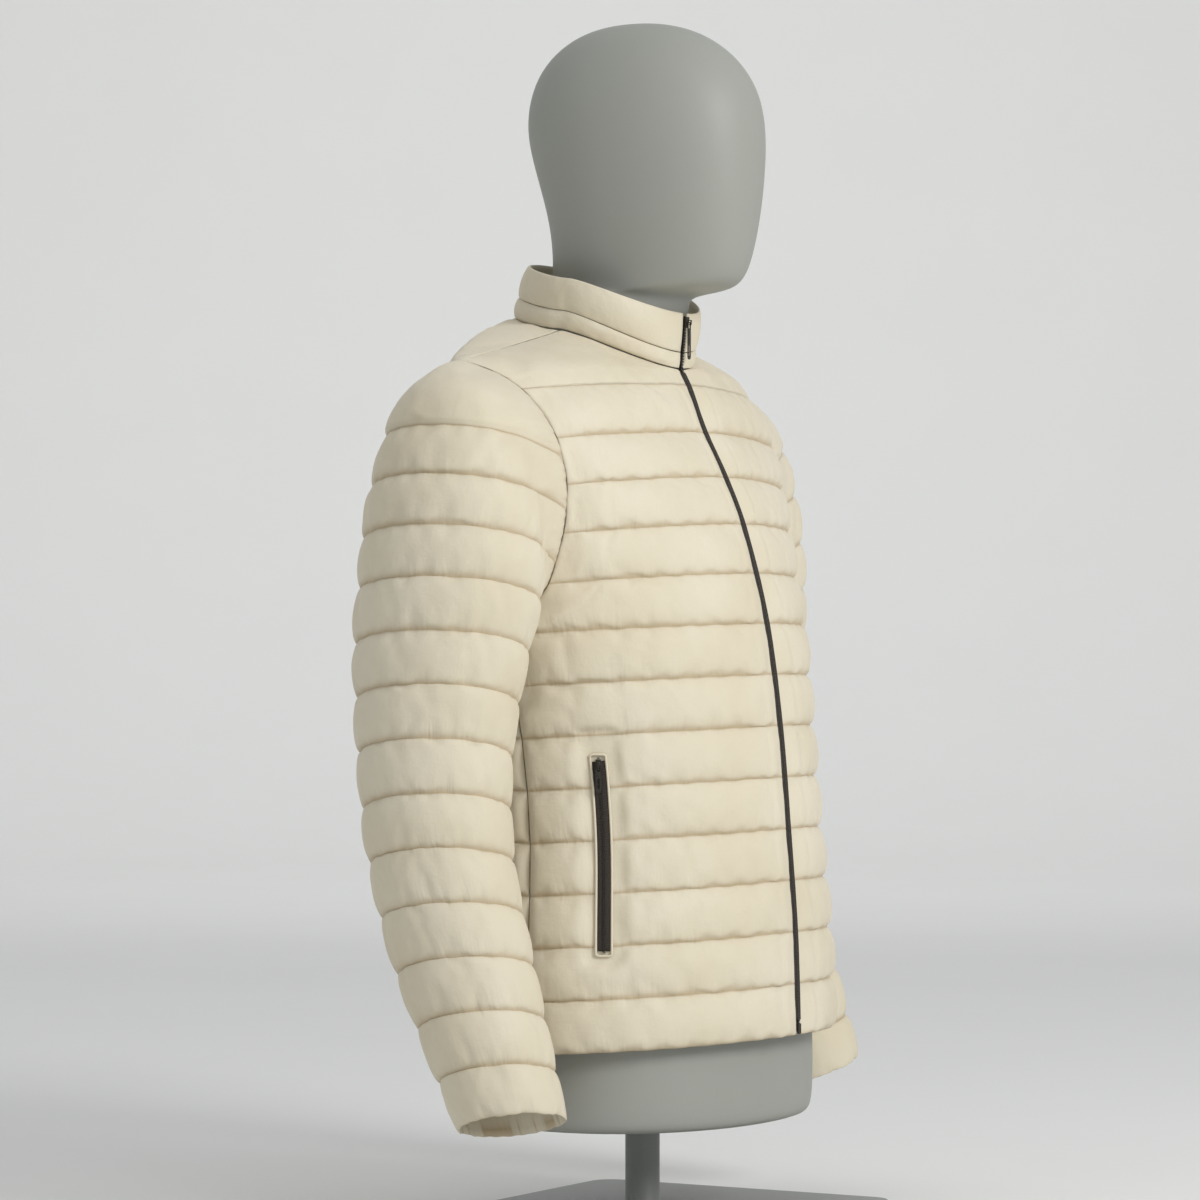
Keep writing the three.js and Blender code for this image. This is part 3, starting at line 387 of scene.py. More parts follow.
def row_ends(level, ahead):
    column = FRONT if ahead else BACK
    rise = min(max(level - CHANNELS, 0), 1)
    z = height_of(min(level, CHANNELS))
    centre = np.array((0, smooth_at(TORSO_ROWS, column, z), z))
    side_z = z - SIDE_DROP
    side_y = smooth_at(TORSO_ROWS, SIDE, side_z)
    edge = np.array((smooth_at(TORSO_ROWS, HALF, side_z), side_y, side_z))
    if side_z > ARMHOLE[6, 2]:
        edge = armhole(armhole_turn_at(side_z, ahead) * (1 - rise))
    cosine = (side_y - edge[1]) / (side_y - centre[1])
    if rise > 0:
        neck = collar_point(COLLAR_BASE, 0 if ahead else 1)
        cosine += (math.cos(math.radians(35)) - cosine) * rise
        if rise < YOKE_NECK:
            centre = centre + (neck - centre) * rise / YOKE_NECK
        else:
            around = (rise - YOKE_NECK) / (1 - YOKE_NECK) / 2
            centre = collar_point(COLLAR_BASE, around if ahead else 1 - around)
    return centre, edge, math.acos(min(max(cosine, 0), 0.9))


def body_row(ahead, level, across, start):
    centre, edge, arc = row_ends(min(level, CHANNELS + 1), ahead)
    share = np.sin(across * arc) / math.sin(arc)
    bow = (np.cos(across * arc) - math.cos(arc)) / (1 - math.cos(arc))
    begin = max(centre[0], start)
    # the shoulder runs straight to the sleeve, the chest and the back in a curve
    rise = min(max(level - CHANNELS, 0), 1)
    straight = 0.8 * (rise ** 2 if ahead else min(rise * 2.5, 1))
    bow += (1 - share - bow) * straight
    fall = 1.5 - 0.6 * rise
    return np.stack((begin + (edge[0] - begin) * share, edge[1] + (centre[1] - edge[1]) * bow,
                     centre[2] + (edge[2] - centre[2]) * across ** fall), axis=-1)


# Rows lie closer together beside a stitch line, where the cloth turns sharply
STEPS = np.array((0, 0.035, 0.09, 0.18, 0.30, 0.43, 0.56, 0.69, 0.80, 0.89, 0.955))
body_levels = np.concatenate([k + STEPS for k in range(CHANNELS)]
                             + [CHANNELS + np.array((0, 0.03, 0.08, 0.16, 0.25, 0.31, 0.37, 0.43, 0.5, 0.57, 0.64,
                                                     0.71, 0.78, 0.85, 0.91, 0.96, 1.0))])
print("rows of cloth on a front:", len(body_levels))

# %% [markdown]
# ## Filling the channels
# Wadding makes each channel stand up between its two stitch lines, fuller low down, where it settles. The
# cloth over it is cut a little long, so it gathers into small pleats along the stitching. Both come from a
# cloth simulation: the outer cloth is pinned along its seams and stitch lines, it grows by a few per cent,
# and pressure from inside fills it. A point may move only so far from the plan, which keeps the jacket at
# its measured size.


# %% Grid tools
def grid_normals(grid, closed):
    if closed:
        along = np.roll(grid, -1, axis=1) - np.roll(grid, 1, axis=1)
    else:
        along = np.gradient(grid, axis=1)
    up = np.gradient(grid, axis=0)
    normals = np.cross(along, up)
    length = np.linalg.norm(normals, axis=2, keepdims=True)
    for row in range(1, len(grid)):
        weak = length[row, :, 0] < 1e-12
        normals[row, weak] = normals[row - 1, weak]
        length[row, weak] = length[row - 1, weak]
    return normals / np.maximum(length, 1e-12)


def soft_noise(u, v, seed):
    """Smooth noise from a few seeded waves, about -1 to 1."""
    rng = np.random.default_rng(seed)
    total = np.zeros(np.broadcast(u, v).shape)
    for _ in range(14):
        a, b, phase = rng.normal(), rng.normal(), rng.uniform(0, 2 * math.pi)
        total += np.sin(u * a + v * b + phase)
    return total / 3.4


def crown(fraction):
    return np.sin(math.pi * np.clip(fraction, 0, 1) ** 0.78) ** 0.60


def grid_faces(rows, columns, closed, weld=None, slit=None):
    """Faces of a sheet. weld gives the index that stands for each point, slit a strip that is left open."""
    weld = np.arange(rows * columns) if weld is None else weld
    faces = []
    for i in range(rows - 1):
        for j in range(columns if closed else columns - 1):
            if j == slit:
                continue
            k = (j + 1) % columns
            ring = [int(weld[n]) for n in (i * columns + j, i * columns + k,
                                           (i + 1) * columns + k, (i + 1) * columns + j)]
            face = [n for at, n in enumerate(ring) if n != ring[at - 1]]
            if len(set(face)) == len(face) > 2:
                faces.append(tuple(face))
    return faces


# %% Fill one sheet by cloth simulation
SLIDE_CAP = 0.006
OUT_CAP = 0.0100
LAST_FRAME = 20


def fill_with_wadding(name, grid, normals, pinned, closed, lift, growth, cap=1.0, weld=None, slit=None):
    """Returns the outer cloth after the simulation. lift is the drawn puff that it starts from."""
    rows, columns = grid.shape[:2]
    drawn = grid + normals * lift[..., None]
    sheet = object_from(name + "_outer", drawn.reshape(-1, 3), grid_faces(rows, columns, closed, weld, slit))
    # the pressure pushes along the faces' normals, so they look outward
    outward = normals.reshape(-1, 3)
    facing = sum(face.normal.dot(Vector(outward[face.vertices[0]])) for face in sheet.data.polygons)
    if facing < 0:
        sheet.data.flip_normals()
    pins = sheet.vertex_groups.new(name="stitched")
    pins.add([int(i) for i in np.flatnonzero(pinned.ravel())], 1.0, "REPLACE")
    cloth = sheet.modifiers.new("cloth", "CLOTH")
    settings = cloth.settings
    settings.quality = 5
    settings.mass = 0.02
    settings.tension_stiffness = 8
    settings.compression_stiffness = 8
    settings.shear_stiffness = 3
    settings.bending_stiffness = 0.02
    settings.tension_damping = 6
    settings.compression_damping = 6
    settings.shear_damping = 4
    settings.air_damping = 4
    settings.vertex_group_mass = "stitched"
    settings.pin_stiffness = 50
    settings.shrink_min = -growth
    settings.shrink_max = -growth
    settings.use_pressure = True
    settings.uniform_pressure_force = 4.0
    settings.effector_weights.gravity = 0
    cloth.collision_settings.use_collision = False
    cloth.point_cache.frame_start = 1
    cloth.point_cache.frame_end = LAST_FRAME
    for number in range(1, LAST_FRAME + 1):
        bpy.context.scene.frame_set(number)
    graph = bpy.context.evaluated_depsgraph_get()
    settled = sheet.evaluated_get(graph)
    points = np.zeros(rows * columns * 3)
    settled.data.vertices.foreach_get("co", points)
    bpy.data.objects.remove(sheet)
    bpy.context.scene.frame_set(1)
    if weld is not None:
        points = points.reshape(-1, 3)[weld]
    moved = points.reshape(rows, columns, 3) - grid
    out = np.sum(moved * normals, axis=2)
    slide = moved - normals * out[..., None]
    far = np.linalg.norm(slide, axis=2, keepdims=True)
    slide *= np.minimum(1, SLIDE_CAP / np.maximum(far, 1e-9))
    print(name, "puffs out by", round(float(out.max()) * 1000, 1), "mm before the cap, most",
          round(float(np.percentile(out, 90)) * 1000, 1), "mm")
    # the wadding holds the cloth near its drawn puff, and the limit comes on softly
    most = np.maximum(OUT_CAP * cap, 1e-6)
    out = most * np.tanh(np.clip(0.5 * out + 0.5 * lift, 0, None) / most)
    result = grid + normals * out[..., None] + slide
    result[pinned] = grid[pinned]
    return result


# %% [markdown]
# A piece is then closed by its lining: an inner sheet on the plan, a wall's thickness inside, which
# meets the outer cloth along every edge. One subdivision rounds what the grid leaves angular.


# %% Close a piece with its lining
def quilted_piece(name, outer, grid, normals, under, closed, cloth_uv, near, lining=WALL,
                  slit=None, slit_row=0, wrap=0.0):
    rows, columns = grid.shape[:2]
    inner = grid[under] - normals[under] * lining
    vertices = np.concatenate((outer.reshape(-1, 3), inner.reshape(-1, 3)))
    faces = grid_faces(rows, columns, closed, slit=slit)
    start = rows * columns
    lining_faces = grid_faces(len(under), columns, closed, slit=slit)
    faces += [tuple(start + n for n in face[::-1]) for face in lining_faces]
    for j in range(columns if closed else columns - 1):
        if j == slit:
            continue
        k = (j + 1) % columns
        faces.append((k, j, start + j, start + k))
        top_outer, top_inner = (rows - 1) * columns, start + (len(under) - 1) * columns
        faces.append((top_outer + j, top_outer + k, top_inner + k, top_inner + j))
    ends = [] if closed else [(0, False, 0), (columns - 1, True, 0)]
    if slit is not None:
        ends += [(slit, True, slit_row), (slit + 1, False, slit_row)]
    for j, turned, first in ends:
        for n in range(len(under) - 1):
            if under[n] >= first:
                chain = [i * columns + j for i in range(under[n], under[n + 1] + 1)]
                a, b = start + n * columns + j, start + (n + 1) * columns + j
                middle = len(chain) // 2
                fan = [(a, chain[i], chain[i + 1]) for i in range(middle)]
                fan += [(b, chain[i], chain[i + 1]) for i in range(middle, len(chain) - 1)]
                fan.append((a, chain[middle], b))
                faces += [tuple(reversed(f)) if turned else f for f in fan]
    uvs = np.concatenate((cloth_uv.reshape(-1, 2), cloth_uv[under].reshape(-1, 2)))
    piece = object_from(name, vertices, faces, uvs, wrap)
    mark = piece.data.attributes.new("near_stitch", "FLOAT", "POINT")
    values = np.concatenate((near.ravel(), np.zeros(len(under) * columns)))
    mark.data.foreach_set("value", values.astype(np.float32))
    shape = bmesh.new()
    shape.from_mesh(piece.data)
    bmesh.ops.remove_doubles(shape, verts=shape.verts, dist=2e-5)
    bmesh.ops.recalc_face_normals(shape, faces=shape.faces)
    shape.to_mesh(piece.data)
    shape.free()
    smooth = piece.modifiers.new("smooth", "SUBSURF")
    smooth.levels = smooth.render_levels = 1
    apply_modifiers(piece)
    piece.data.shade_smooth()
    piece.data.materials.append(QUILTED)
    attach(piece, BODY)
    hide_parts(name)
    count = sum(len(face.vertices) - 2 for face in piece.data.polygons)
    print(name, "has", count, "triangles")
    return piece


def cloth_map(grid, closed):
    """Distance along and up the cloth at each point, in metres."""
    step = np.linalg.norm(np.diff(grid, axis=1), axis=2)
    u = np.concatenate((np.zeros((len(grid), 1)), np.cumsum(step, axis=1)), axis=1)
    rise = np.linalg.norm(np.diff(grid, axis=0), axis=2).mean(axis=1)
    v = np.concatenate(([0], np.cumsum(rise)))
    return np.stack((u, np.repeat(v[:, None], grid.shape[1], axis=1)), axis=-1)


def near_stitch(levels, top):
    """1 at a stitch line, falling faster below it than above it."""
    fraction = levels - np.floor(levels + 1e-9)
    above = np.exp(-fraction / 0.22)
    below = np.exp(-(1 - fraction) / 0.07)
    return np.where(levels > top, 0.12, np.maximum(above, below))


# %% [markdown]
# ## Fronts and back
# The two fronts meet at the zip, and each holds a pocket. Beside the zip, the side seam and the pocket the filling
# is pressed flat by topstitching. The back is one panel. It has no zip, so its channels run from side to side.

# %% Fronts
ROW_WIDTH = 0.262
POCKET_TURN = 65.5 / 90
POCKET_LEVELS = (1.6, 6.1)
FRONT_COLUMNS = 46
ZIP_FLAT, ZIP_SLOPE = 0.0035, 0.014
SIDE_SLOPE = 0.008
ARM_SLOPE, ARM_LEVEL = 0.05, 6.5
POCKET_FLAT, POCKET_SLOPE = 0.0115, 0.012
ARMHOLE_LEVEL = 8.25


def fraction_grid(levels, count):
    return np.repeat((levels - np.floor(levels + 1e-9))[:, None], count, axis=1)


def pressed(across, levels, ahead):
    to_side = (1 - across) * ROW_WIDTH
    arm = np.where(levels[:, None] > ARM_LEVEL, np.clip(to_side / ARM_SLOPE, 0.25, 1), 1)
    edge = np.clip(to_side / SIDE_SLOPE, 0, 1)
    if ahead:
        edge = edge * np.clip((across * ROW_WIDTH - ZIP_FLAT) / ZIP_SLOPE, 0, 1) ** 0.8
        beside = np.clip((np.abs(across - POCKET_TURN) * ROW_WIDTH - POCKET_FLAT) / POCKET_SLOPE, 0, 1)
        pocket_rows = (levels > POCKET_LEVELS[0]) & (levels < POCKET_LEVELS[1])
        pocket = np.where(pocket_rows[:, None], beside, 1)
        return arm * edge * pocket
    return arm * edge


def line_rows(levels, top):
    return [i for i, level in enumerate(levels) if level <= top and abs(level - round(level)) < 1e-6]


body_under = line_rows(body_levels, CHANNELS)
body_under += [i for i, level in enumerate(body_levels) if level - CHANNELS in (0.25, 0.5, 0.78)]
body_under.append(len(body_levels) - 1)
pleats = 1 / 0.0085


def panel_grid(ahead, side, across):
    start = ZIP_HALF + GAP if ahead else 0
    grid = np.array([body_row(ahead, level, across, start) for level in body_levels])
    seam = np.where(body_levels > ARMHOLE_LEVEL, 0, 1)[:, None] * (across == 1)[None, :]
    shoulder = (body_levels >= CHANNELS + 1)[:, None] * np.ones_like(across)[None, :]
    grid[..., 1] += (-1 if ahead else 1) * (GAP / 2 * seam - SEAM_LAP / 2 * shoulder)
    grid[..., 0] *= side
    return grid


def wadding(levels, columns, press, seed, u, full=PUFF):
    fraction = fraction_grid(levels, columns)
    filled = crown(fraction)
    yoke = levels[:, None] > CHANNELS
    filled = np.where(yoke, 0.25 * np.sin(math.pi * np.clip(levels[:, None] - CHANNELS, 0, 1)) ** 0.5, filled)
    small = soft_noise(u * pleats, levels[:, None] * 3.0, seed) * np.exp(-fraction / 0.30) * 0.07
    broad = soft_noise(u * 24, levels[:, None] * 3.0, seed + 1) * 0.05
    return full * press * filled * (1 + small + broad)


def flat_yoke(press):
    """How much of the limit each point may use: little beside the zip and seams, and in the yoke."""
    yoke = np.where(body_levels > CHANNELS, 0.3, 1)[:, None]
    return yoke * np.clip(press * 1.1, 0.02, 1)


for name, side, seed in (("front_right", -1, 11), ("front_left", 1, 23)):
    across = np.linspace(0, 1, FRONT_COLUMNS)
    grid = panel_grid(True, side, across)
    normals = grid_normals(grid, False)
    if side < 0:
        normals = -normals
    cloth_uv = cloth_map(grid, False)
    press = pressed(across[None, :], body_levels, True)
    lift = wadding(body_levels, FRONT_COLUMNS, press, seed, cloth_uv[..., 0])
    pinned = press < 0.02
    for i in line_rows(body_levels, CHANNELS):
        pinned[i] = True
    pinned[-1] = True
    outer = fill_with_wadding(name, grid, normals, pinned, False, lift, 0.05, cap=flat_yoke(press))
    near = np.repeat(near_stitch(body_levels, CHANNELS)[:, None], FRONT_COLUMNS, axis=1)
    quilted_piece(name, outer, grid, normals, body_under, False, cloth_uv, near)

# %% Back
BACK_COLUMNS = 44
across = np.linspace(0, 1, BACK_COLUMNS)
left_half, right_half = panel_grid(False, 1, across), panel_grid(False, -1, across)
grid = np.concatenate((right_half[:, ::-1], left_half), axis=1)
wide_across = np.concatenate((across[::-1], across))[None, :]
columns = 2 * BACK_COLUMNS
neck_row = int(np.argmin(abs(body_levels - CHANNELS - YOKE_NECK)))
# below the neck both halves share their middle column
weld = np.arange(grid.shape[0] * columns)
for i in range(neck_row + 1):
    weld[i * columns + BACK_COLUMNS - 1] = i * columns + BACK_COLUMNS
normals = -grid_normals(grid, False)
normals[:neck_row + 1, BACK_COLUMNS - 1] = normals[:neck_row + 1, BACK_COLUMNS]
cloth_uv = cloth_map(grid, False)
press = pressed(wide_across, body_levels, False)
lift = wadding(body_levels, columns, press, 37, cloth_uv[..., 0])
pinned = press < 0.02
for i in line_rows(body_levels, CHANNELS) + [len(body_levels) - 1]:
    pinned[i] = True
pinned[neck_row:, BACK_COLUMNS - 1:BACK_COLUMNS + 1] = True
outer = fill_with_wadding("back", grid, normals, pinned, False, lift, 0.05, cap=flat_yoke(press), weld=weld,
                          slit=BACK_COLUMNS - 1)
near = np.repeat(near_stitch(body_levels, CHANNELS)[:, None], columns, axis=1)
quilted_piece("back", outer, grid, normals, body_under, False, cloth_uv, near,
              slit=BACK_COLUMNS - 1, slit_row=neck_row)

# %% [markdown]
# ## Sleeves
# A sleeve is a tube that starts at the armhole seam and hangs from the shoulder. Its stitch lines lie in
# level planes that fall a little toward the body, and the upper ones end in the seam. The left sleeve hangs
# a little further back than the right one, as arms of a worn jacket do.


# %% Sleeve surface
def sleeve_curve(side, turn, count):
    """Points down the sleeve from the armhole seam, for one place round the tube."""
    c, s = math.cos(turn * 2 * math.pi), math.sin(turn * 2 * math.pi)
    start = armhole(turn) - np.array((SEAM_LAP, 0, 0))
    points = [start]
    for out, out_z, inner, inner_z, y, depth, rise, back in SLEEVE:
        points.append(np.array(((out + inner) / 2 + c * (out - inner) / 2,
                                y + (back if side > 0 else 0) - s * depth,
                                (out_z + inner_z) / 2 + c * (out_z - inner_z) / 2 + s * depth * rise)) / 1000)
    points = np.array(points)
    last = len(points) - 1
    place = np.linspace(0, last, count)
    i = np.minimum(place.astype(int), last - 1)
    t = (place - i)[:, None]
    m1 = (points[i + 1] - points[np.maximum(i - 1, 0)]) / 2
    m2 = (points[np.minimum(i + 2, last)] - points[i]) / 2
    t2, t3 = t * t, t * t * t
    curve = ((2 * t3 - 3 * t2 + 1) * points[i] + (t3 - 2 * t2 + t) * m1
             + (3 * t2 - 2 * t3) * points[i + 1] + (t3 - t2) * m2)
    return curve * np.array((side, 1, 1))


def sleeve_level(points):
    down = np.clip((SLEEVE_LINE_Z - points[:, 2]) / (SLEEVE_LINES * PITCH), 0, 1)
    lean = 0.25 - 0.05 * down
    rise = 0.02 + 0.23 * down ** 1.4
    middle_y = 0.036 - 0.066 * down ** 2
    z = points[:, 2] + lean * (0.330 - abs(points[:, 0])) + rise * (points[:, 1] - middle_y)
    return (z - SLEEVE_LINE_Z) / PITCH + SLEEVE_LINES


SLEEVE_COLUMNS = 76
TOP_LEVEL = float(sleeve_level(sleeve_curve(-1, 0, 2)[:1])[0])
sleeve_levels = np.concatenate([k + STEPS for k in range(SLEEVE_LINES)]
                               + [np.linspace(SLEEVE_LINES, TOP_LEVEL, 18)])
sleeve_under = line_rows(sleeve_levels, SLEEVE_LINES)
sleeve_under += [len(sleeve_levels) - 12, len(sleeve_levels) - 6, len(sleeve_levels) - 1]
print("the sleeve's cap reaches level", round(TOP_LEVEL, 2))


def sleeve_grid(side):
    turns = 0.5 + np.arange(SLEEVE_COLUMNS) / SLEEVE_COLUMNS
    grid = np.zeros((len(sleeve_levels), SLEEVE_COLUMNS, 3))
    from_seam = np.zeros(grid.shape[:2])
    for j, turn in enumerate(turns):
        curve = sleeve_curve(side, turn, 900)
        level = np.minimum.accumulate(sleeve_level(curve))
        length = np.concatenate(([0], np.cumsum(np.linalg.norm(np.diff(curve, axis=0), axis=1))))
        steady = level - np.arange(len(level)) * 1e-9
        place = np.interp(-sleeve_levels, -steady, np.arange(len(level)))
        away = np.interp(place, np.arange(len(level)), length)
        place[away < 0.0022] = 0
        away[away < 0.0022] = 0
        for axis in range(3):
            grid[:, j, axis] = np.interp(place, np.arange(len(level)), curve[:, axis])
        from_seam[:, j] = away
    return grid, from_seam


# %% Make both sleeves
for name, side, seed in (("sleeve_right", -1, 53), ("sleeve_left", 1, 71)):
    grid, from_seam = sleeve_grid(side)
    rows = len(grid)
    normals = grid_normals(grid, True)
    centre = grid.mean(axis=1, keepdims=True)
    if np.sum(normals[:100] * (grid - centre)[:100]) < 0:
        normals = -normals
    weld = np.arange(rows * SLEEVE_COLUMNS)
    for j in range(SLEEVE_COLUMNS):
        seam_rows = np.flatnonzero(from_seam[:, j] == 0)
        first = seam_rows.min()
        weld[seam_rows * SLEEVE_COLUMNS + j] = first * SLEEVE_COLUMNS + j
        normals[seam_rows, j] = normals[first - 1, j]
    toward_body = (1 + np.cos(np.arange(SLEEVE_COLUMNS) / SLEEVE_COLUMNS * 2 * math.pi)) / 2
    soft = 1 - 0.62 * toward_body[None, :]
    press = np.clip(from_seam / 0.026, 0, 1) ** 0.7 * soft
    # the map runs once round the tube, at the mean distance round it, so that it meets itself at the underarm
    girth = float(np.linalg.norm(np.roll(grid, -1, axis=1) - grid, axis=2).sum(axis=1).mean())
    cloth_uv = cloth_map(grid, False)
    cloth_uv[..., 0] = np.arange(SLEEVE_COLUMNS)[None, :] / SLEEVE_COLUMNS * girth
    stitched = np.minimum(sleeve_levels, SLEEVE_LINES - 1e-6)
    lift = wadding(stitched, SLEEVE_COLUMNS, press, seed, cloth_uv[..., 0])
    cap_share = np.clip((sleeve_levels - SLEEVE_LINES) / (TOP_LEVEL - SLEEVE_LINES), 0, 1)[:, None]
    cap_lift = PUFF * 0.9 * press * crown(np.minimum(cap_share * 1.3, 1 - cap_share * 0.2))
    lift = np.where(sleeve_levels[:, None] > SLEEVE_LINES, cap_lift, lift)
    pinned = from_seam == 0
    for i in line_rows(sleeve_levels, SLEEVE_LINES):
        pinned[i] = True
    outer = fill_with_wadding(name, grid, normals, pinned, True, lift, 0.06, cap=soft, weld=weld)
    near = np.repeat(near_stitch(sleeve_levels, SLEEVE_LINES)[:, None], SLEEVE_COLUMNS, axis=1)
    # Near the armhole seam the mask rises too, which adds gathers and paints shade into the cloth's colour there.
    seam_gathers_and_shade = np.exp(-from_seam / 0.012)
    near = np.maximum(near, seam_gathers_and_shade * 0.9)
    quilted_piece(name, outer, grid, normals, sleeve_under, True, cloth_uv, near, wrap=girth)

# %% [markdown]
# ## Stand collar
# The collar is two padded bands, a low one and a taller one above it. Their seams are topstitched, so the
# bands pull in there. They carry less filling than the body and stay smooth.

# %% Collar
COLLAR_WALL = 0.0024
COLLAR_PUFF = 0.0038
for name, low, high, raised, seed in (("collar_lower", COLLAR_BASE, COLLAR_SEAM, 0.0009, 5),
                                      ("collar_upper", COLLAR_SEAM, COLLAR_TOP, 0.0012, 6)):
    edge = math.asin((ZIP_HALF + GAP) / (low[1] / 1000)) / math.pi
    turns = np.linspace(-1 + edge, 1 - edge, 121)
    turns = np.sign(turns + 1e-12) * (1 - np.abs(turns))
    rises = np.array((0, 0.04, 0.12, 0.24, 0.38, 0.52, 0.66, 0.8, 0.91, 0.97, 1.0))
    grid = np.zeros((len(rises), len(turns), 3))
    for j, turn in enumerate(turns):
        bottom, top = collar_point(low, abs(turn)), collar_point(high, abs(turn))
        for i, rise in enumerate(rises):
            point = bottom + (top - bottom) * rise
            grid[i, j] = (point[0] * (1 if turn > 0 else -1), point[1], point[2] + raised)
    middle_y = (low[0] + (high[0] - low[0]) * rises[:, None]) / 1000
    normals = np.stack((grid[..., 0], grid[..., 1] - middle_y, np.zeros(grid.shape[:2])), axis=-1)
    normals /= np.linalg.norm(normals, axis=2, keepdims=True)
    to_zip = (np.abs(turns) - edge) * 0.5
    beside = np.clip(to_zip / 0.012, 0, 1)[None, :] ** 0.6
    cloth_uv = cloth_map(grid, False)
    lift = COLLAR_PUFF * np.sin(math.pi * rises[:, None]) ** 0.55 * beside
    lift = lift * (1 + 0.07 * soft_noise(cloth_uv[..., 0] * 60, rises[:, None] * 2, seed))
    pinned = np.zeros(grid.shape[:2], dtype=bool)
    pinned[[0, -1]] = True
    pinned[:, [0, -1]] = True
    outer = fill_with_wadding(name, grid, normals, pinned, False, lift, 0.02, cap=0.5)
    # The mask also paints a weak shade into the cloth's colour beside the collar's seams, besides its gathers.
    near = np.maximum(np.exp(-rises / 0.1), np.exp(-(1 - rises) / 0.08))
    near = np.repeat(near[:, None], len(turns), axis=1) * 0.6
    quilted_piece(name, outer, grid, normals, [0, 4, 7, 10], False, cloth_uv, near, lining=COLLAR_WALL)

# %% [markdown]
# ## Zip chain
# The front closes with a moulded zip: two rows of dark acetal teeth, 1.6 mm apart, on woven polyester tape.
# One tooth is modelled from a cube and copied up the tape, left and right in turn. The same tooth, set
# closer, makes the coil of the pocket zips. Acetal is slightly glossy, tape is matt.

# %% Zip materials
tooth_plastic, shader = new_material("dark moulded acetal")
shader.inputs["Base Color"].default_value = colour("#2A2521")
shader.inputs["Roughness"].default_value = 0.38
shader.inputs["IOR"].default_value = 1.48
place = add_node(tooth_plastic, "ShaderNodeTexCoord")
grain = add_node(tooth_plastic, "ShaderNodeTexNoise", {}, {"Vector": place.outputs["Object"], "Scale": 900.0})
dull = add_node(tooth_plastic, "ShaderNodeMapRange", {},
                {"Value": grain.outputs["Fac"], "To Min": 0.3, "To Max": 0.52})
wire(tooth_plastic, dull.outputs["Result"], shader.inputs["Roughness"])

tape_cloth, shader = new_material("dark brown polyester zip tape")
place = add_node(tape_cloth, "ShaderNodeTexCoord")
twill = add_node(tape_cloth, "ShaderNodeTexWave", {"wave_type": "BANDS", "bands_direction": "DIAGONAL"},
                 {"Vector": place.outputs["Object"], "Scale": 260.0, "Distortion": 1.5})
tone = add_node(tape_cloth, "ShaderNodeMix", {"data_type": "RGBA"},
                {"Factor": twill.outputs["Fac"], "A": colour("#26211D"), "B": colour("#3A332C")})
rib = add_node(tape_cloth, "ShaderNodeBump", {},
               {"Height": twill.outputs["Fac"], "Strength": 0.4, "Distance": 0.0003})
wire(tape_cloth, tone.outputs["Result"], shader.inputs["Base Color"])
wire(tape_cloth, rib.outputs["Normal"], shader.inputs["Normal"])
shader.inputs["Roughness"].default_value = 0.85

lacquered_zinc, shader = new_material("black lacquered cast zinc")
place = add_node(lacquered_zinc, "ShaderNodeTexCoord")
wear = add_node(lacquered_zinc, "ShaderNodeTexNoise", {}, {"Vector": place.outputs["Object"], "Scale": 350.0})
rub = add_node(lacquered_zinc, "ShaderNodeMapRange", {},
               {"Value": wear.outputs["Fac"], "From Min": 0.35, "From Max": 0.7,
                "To Min": 0.26, "To Max": 0.45})
wire(lacquered_zinc, rub.outputs["Result"], shader.inputs["Roughness"])
shader.inputs["Base Color"].default_value = colour("#3B3733")
shader.inputs["Metallic"].default_value = 0.55


# %% One tooth, shaped from a cube
def edit(item, mode="EDGE"):
    select_only(item)
    bpy.ops.object.mode_set(mode="EDIT")
    bpy.ops.mesh.select_mode(type=mode)
    bpy.ops.mesh.select_all(action="DESELECT")


def pick(item, test, kind="faces"):
    """Selects the faces, edges or vertices of the mesh in edit mode that pass a test."""
    shape = bmesh.from_edit_mesh(item.data)
    for part in getattr(shape, kind):
        part.select_set(bool(test(part)))
    if kind == "verts":
        shape.select_flush(True)
    bmesh.update_edit_mesh(item.data)


def done_editing():
    bpy.ops.object.mode_set(mode="OBJECT")


def cube_of(name, size, middle=(0, 0, 0)):
    bpy.ops.object.select_all(action="DESELECT")
    bpy.ops.mesh.primitive_cube_add(size=1, location=middle)
    item = bpy.context.object
    item.name = name
    item.scale = size
    bpy.ops.object.transform_apply(location=True, rotation=False, scale=True)
    return item


def place_mesh(item, matrix):
    item.data.transform(matrix)
    item.data.update()
    return item


def tooth_mesh(width, deep, tall):
    """A tooth on its tape: a block whose inner end is a rounded head."""
    tooth = cube_of("tooth", (width, deep, tall))
    edit(tooth, "FACE")
    pick(tooth, lambda f: f.normal.x > 0.9)
    bpy.ops.transform.resize(value=(1, 0.7, 0.62))
    pick(tooth, lambda f: f.normal.y < -0.9)
    bpy.ops.mesh.inset(thickness=tall * 0.2, depth=tall * 0.12)
    done_editing()
    points = np.array([v.co[:] for v in tooth.data.vertices])
    faces = [tuple(f.vertices) for f in tooth.data.polygons]
    bpy.data.objects.remove(tooth)
    return points, faces


def along(curve, spacing):
    """Points, tangents and outward directions, equally far apart on a measured curve."""
    points, outward = curve
    length = np.concatenate(([0], np.cumsum(np.linalg.norm(np.diff(points, axis=0), axis=1))))
    stops = np.arange(spacing / 2, length[-1], spacing)
    at = np.stack([np.interp(stops, length, points[:, k]) for k in range(3)], axis=1)
    out = np.stack([np.interp(stops, length, outward[:, k]) for k in range(3)], axis=1)
    out /= np.linalg.norm(out, axis=1, keepdims=True)
    tangent = np.gradient(at, axis=0)
    tangent /= np.linalg.norm(tangent, axis=1, keepdims=True)
    return at, tangent, out


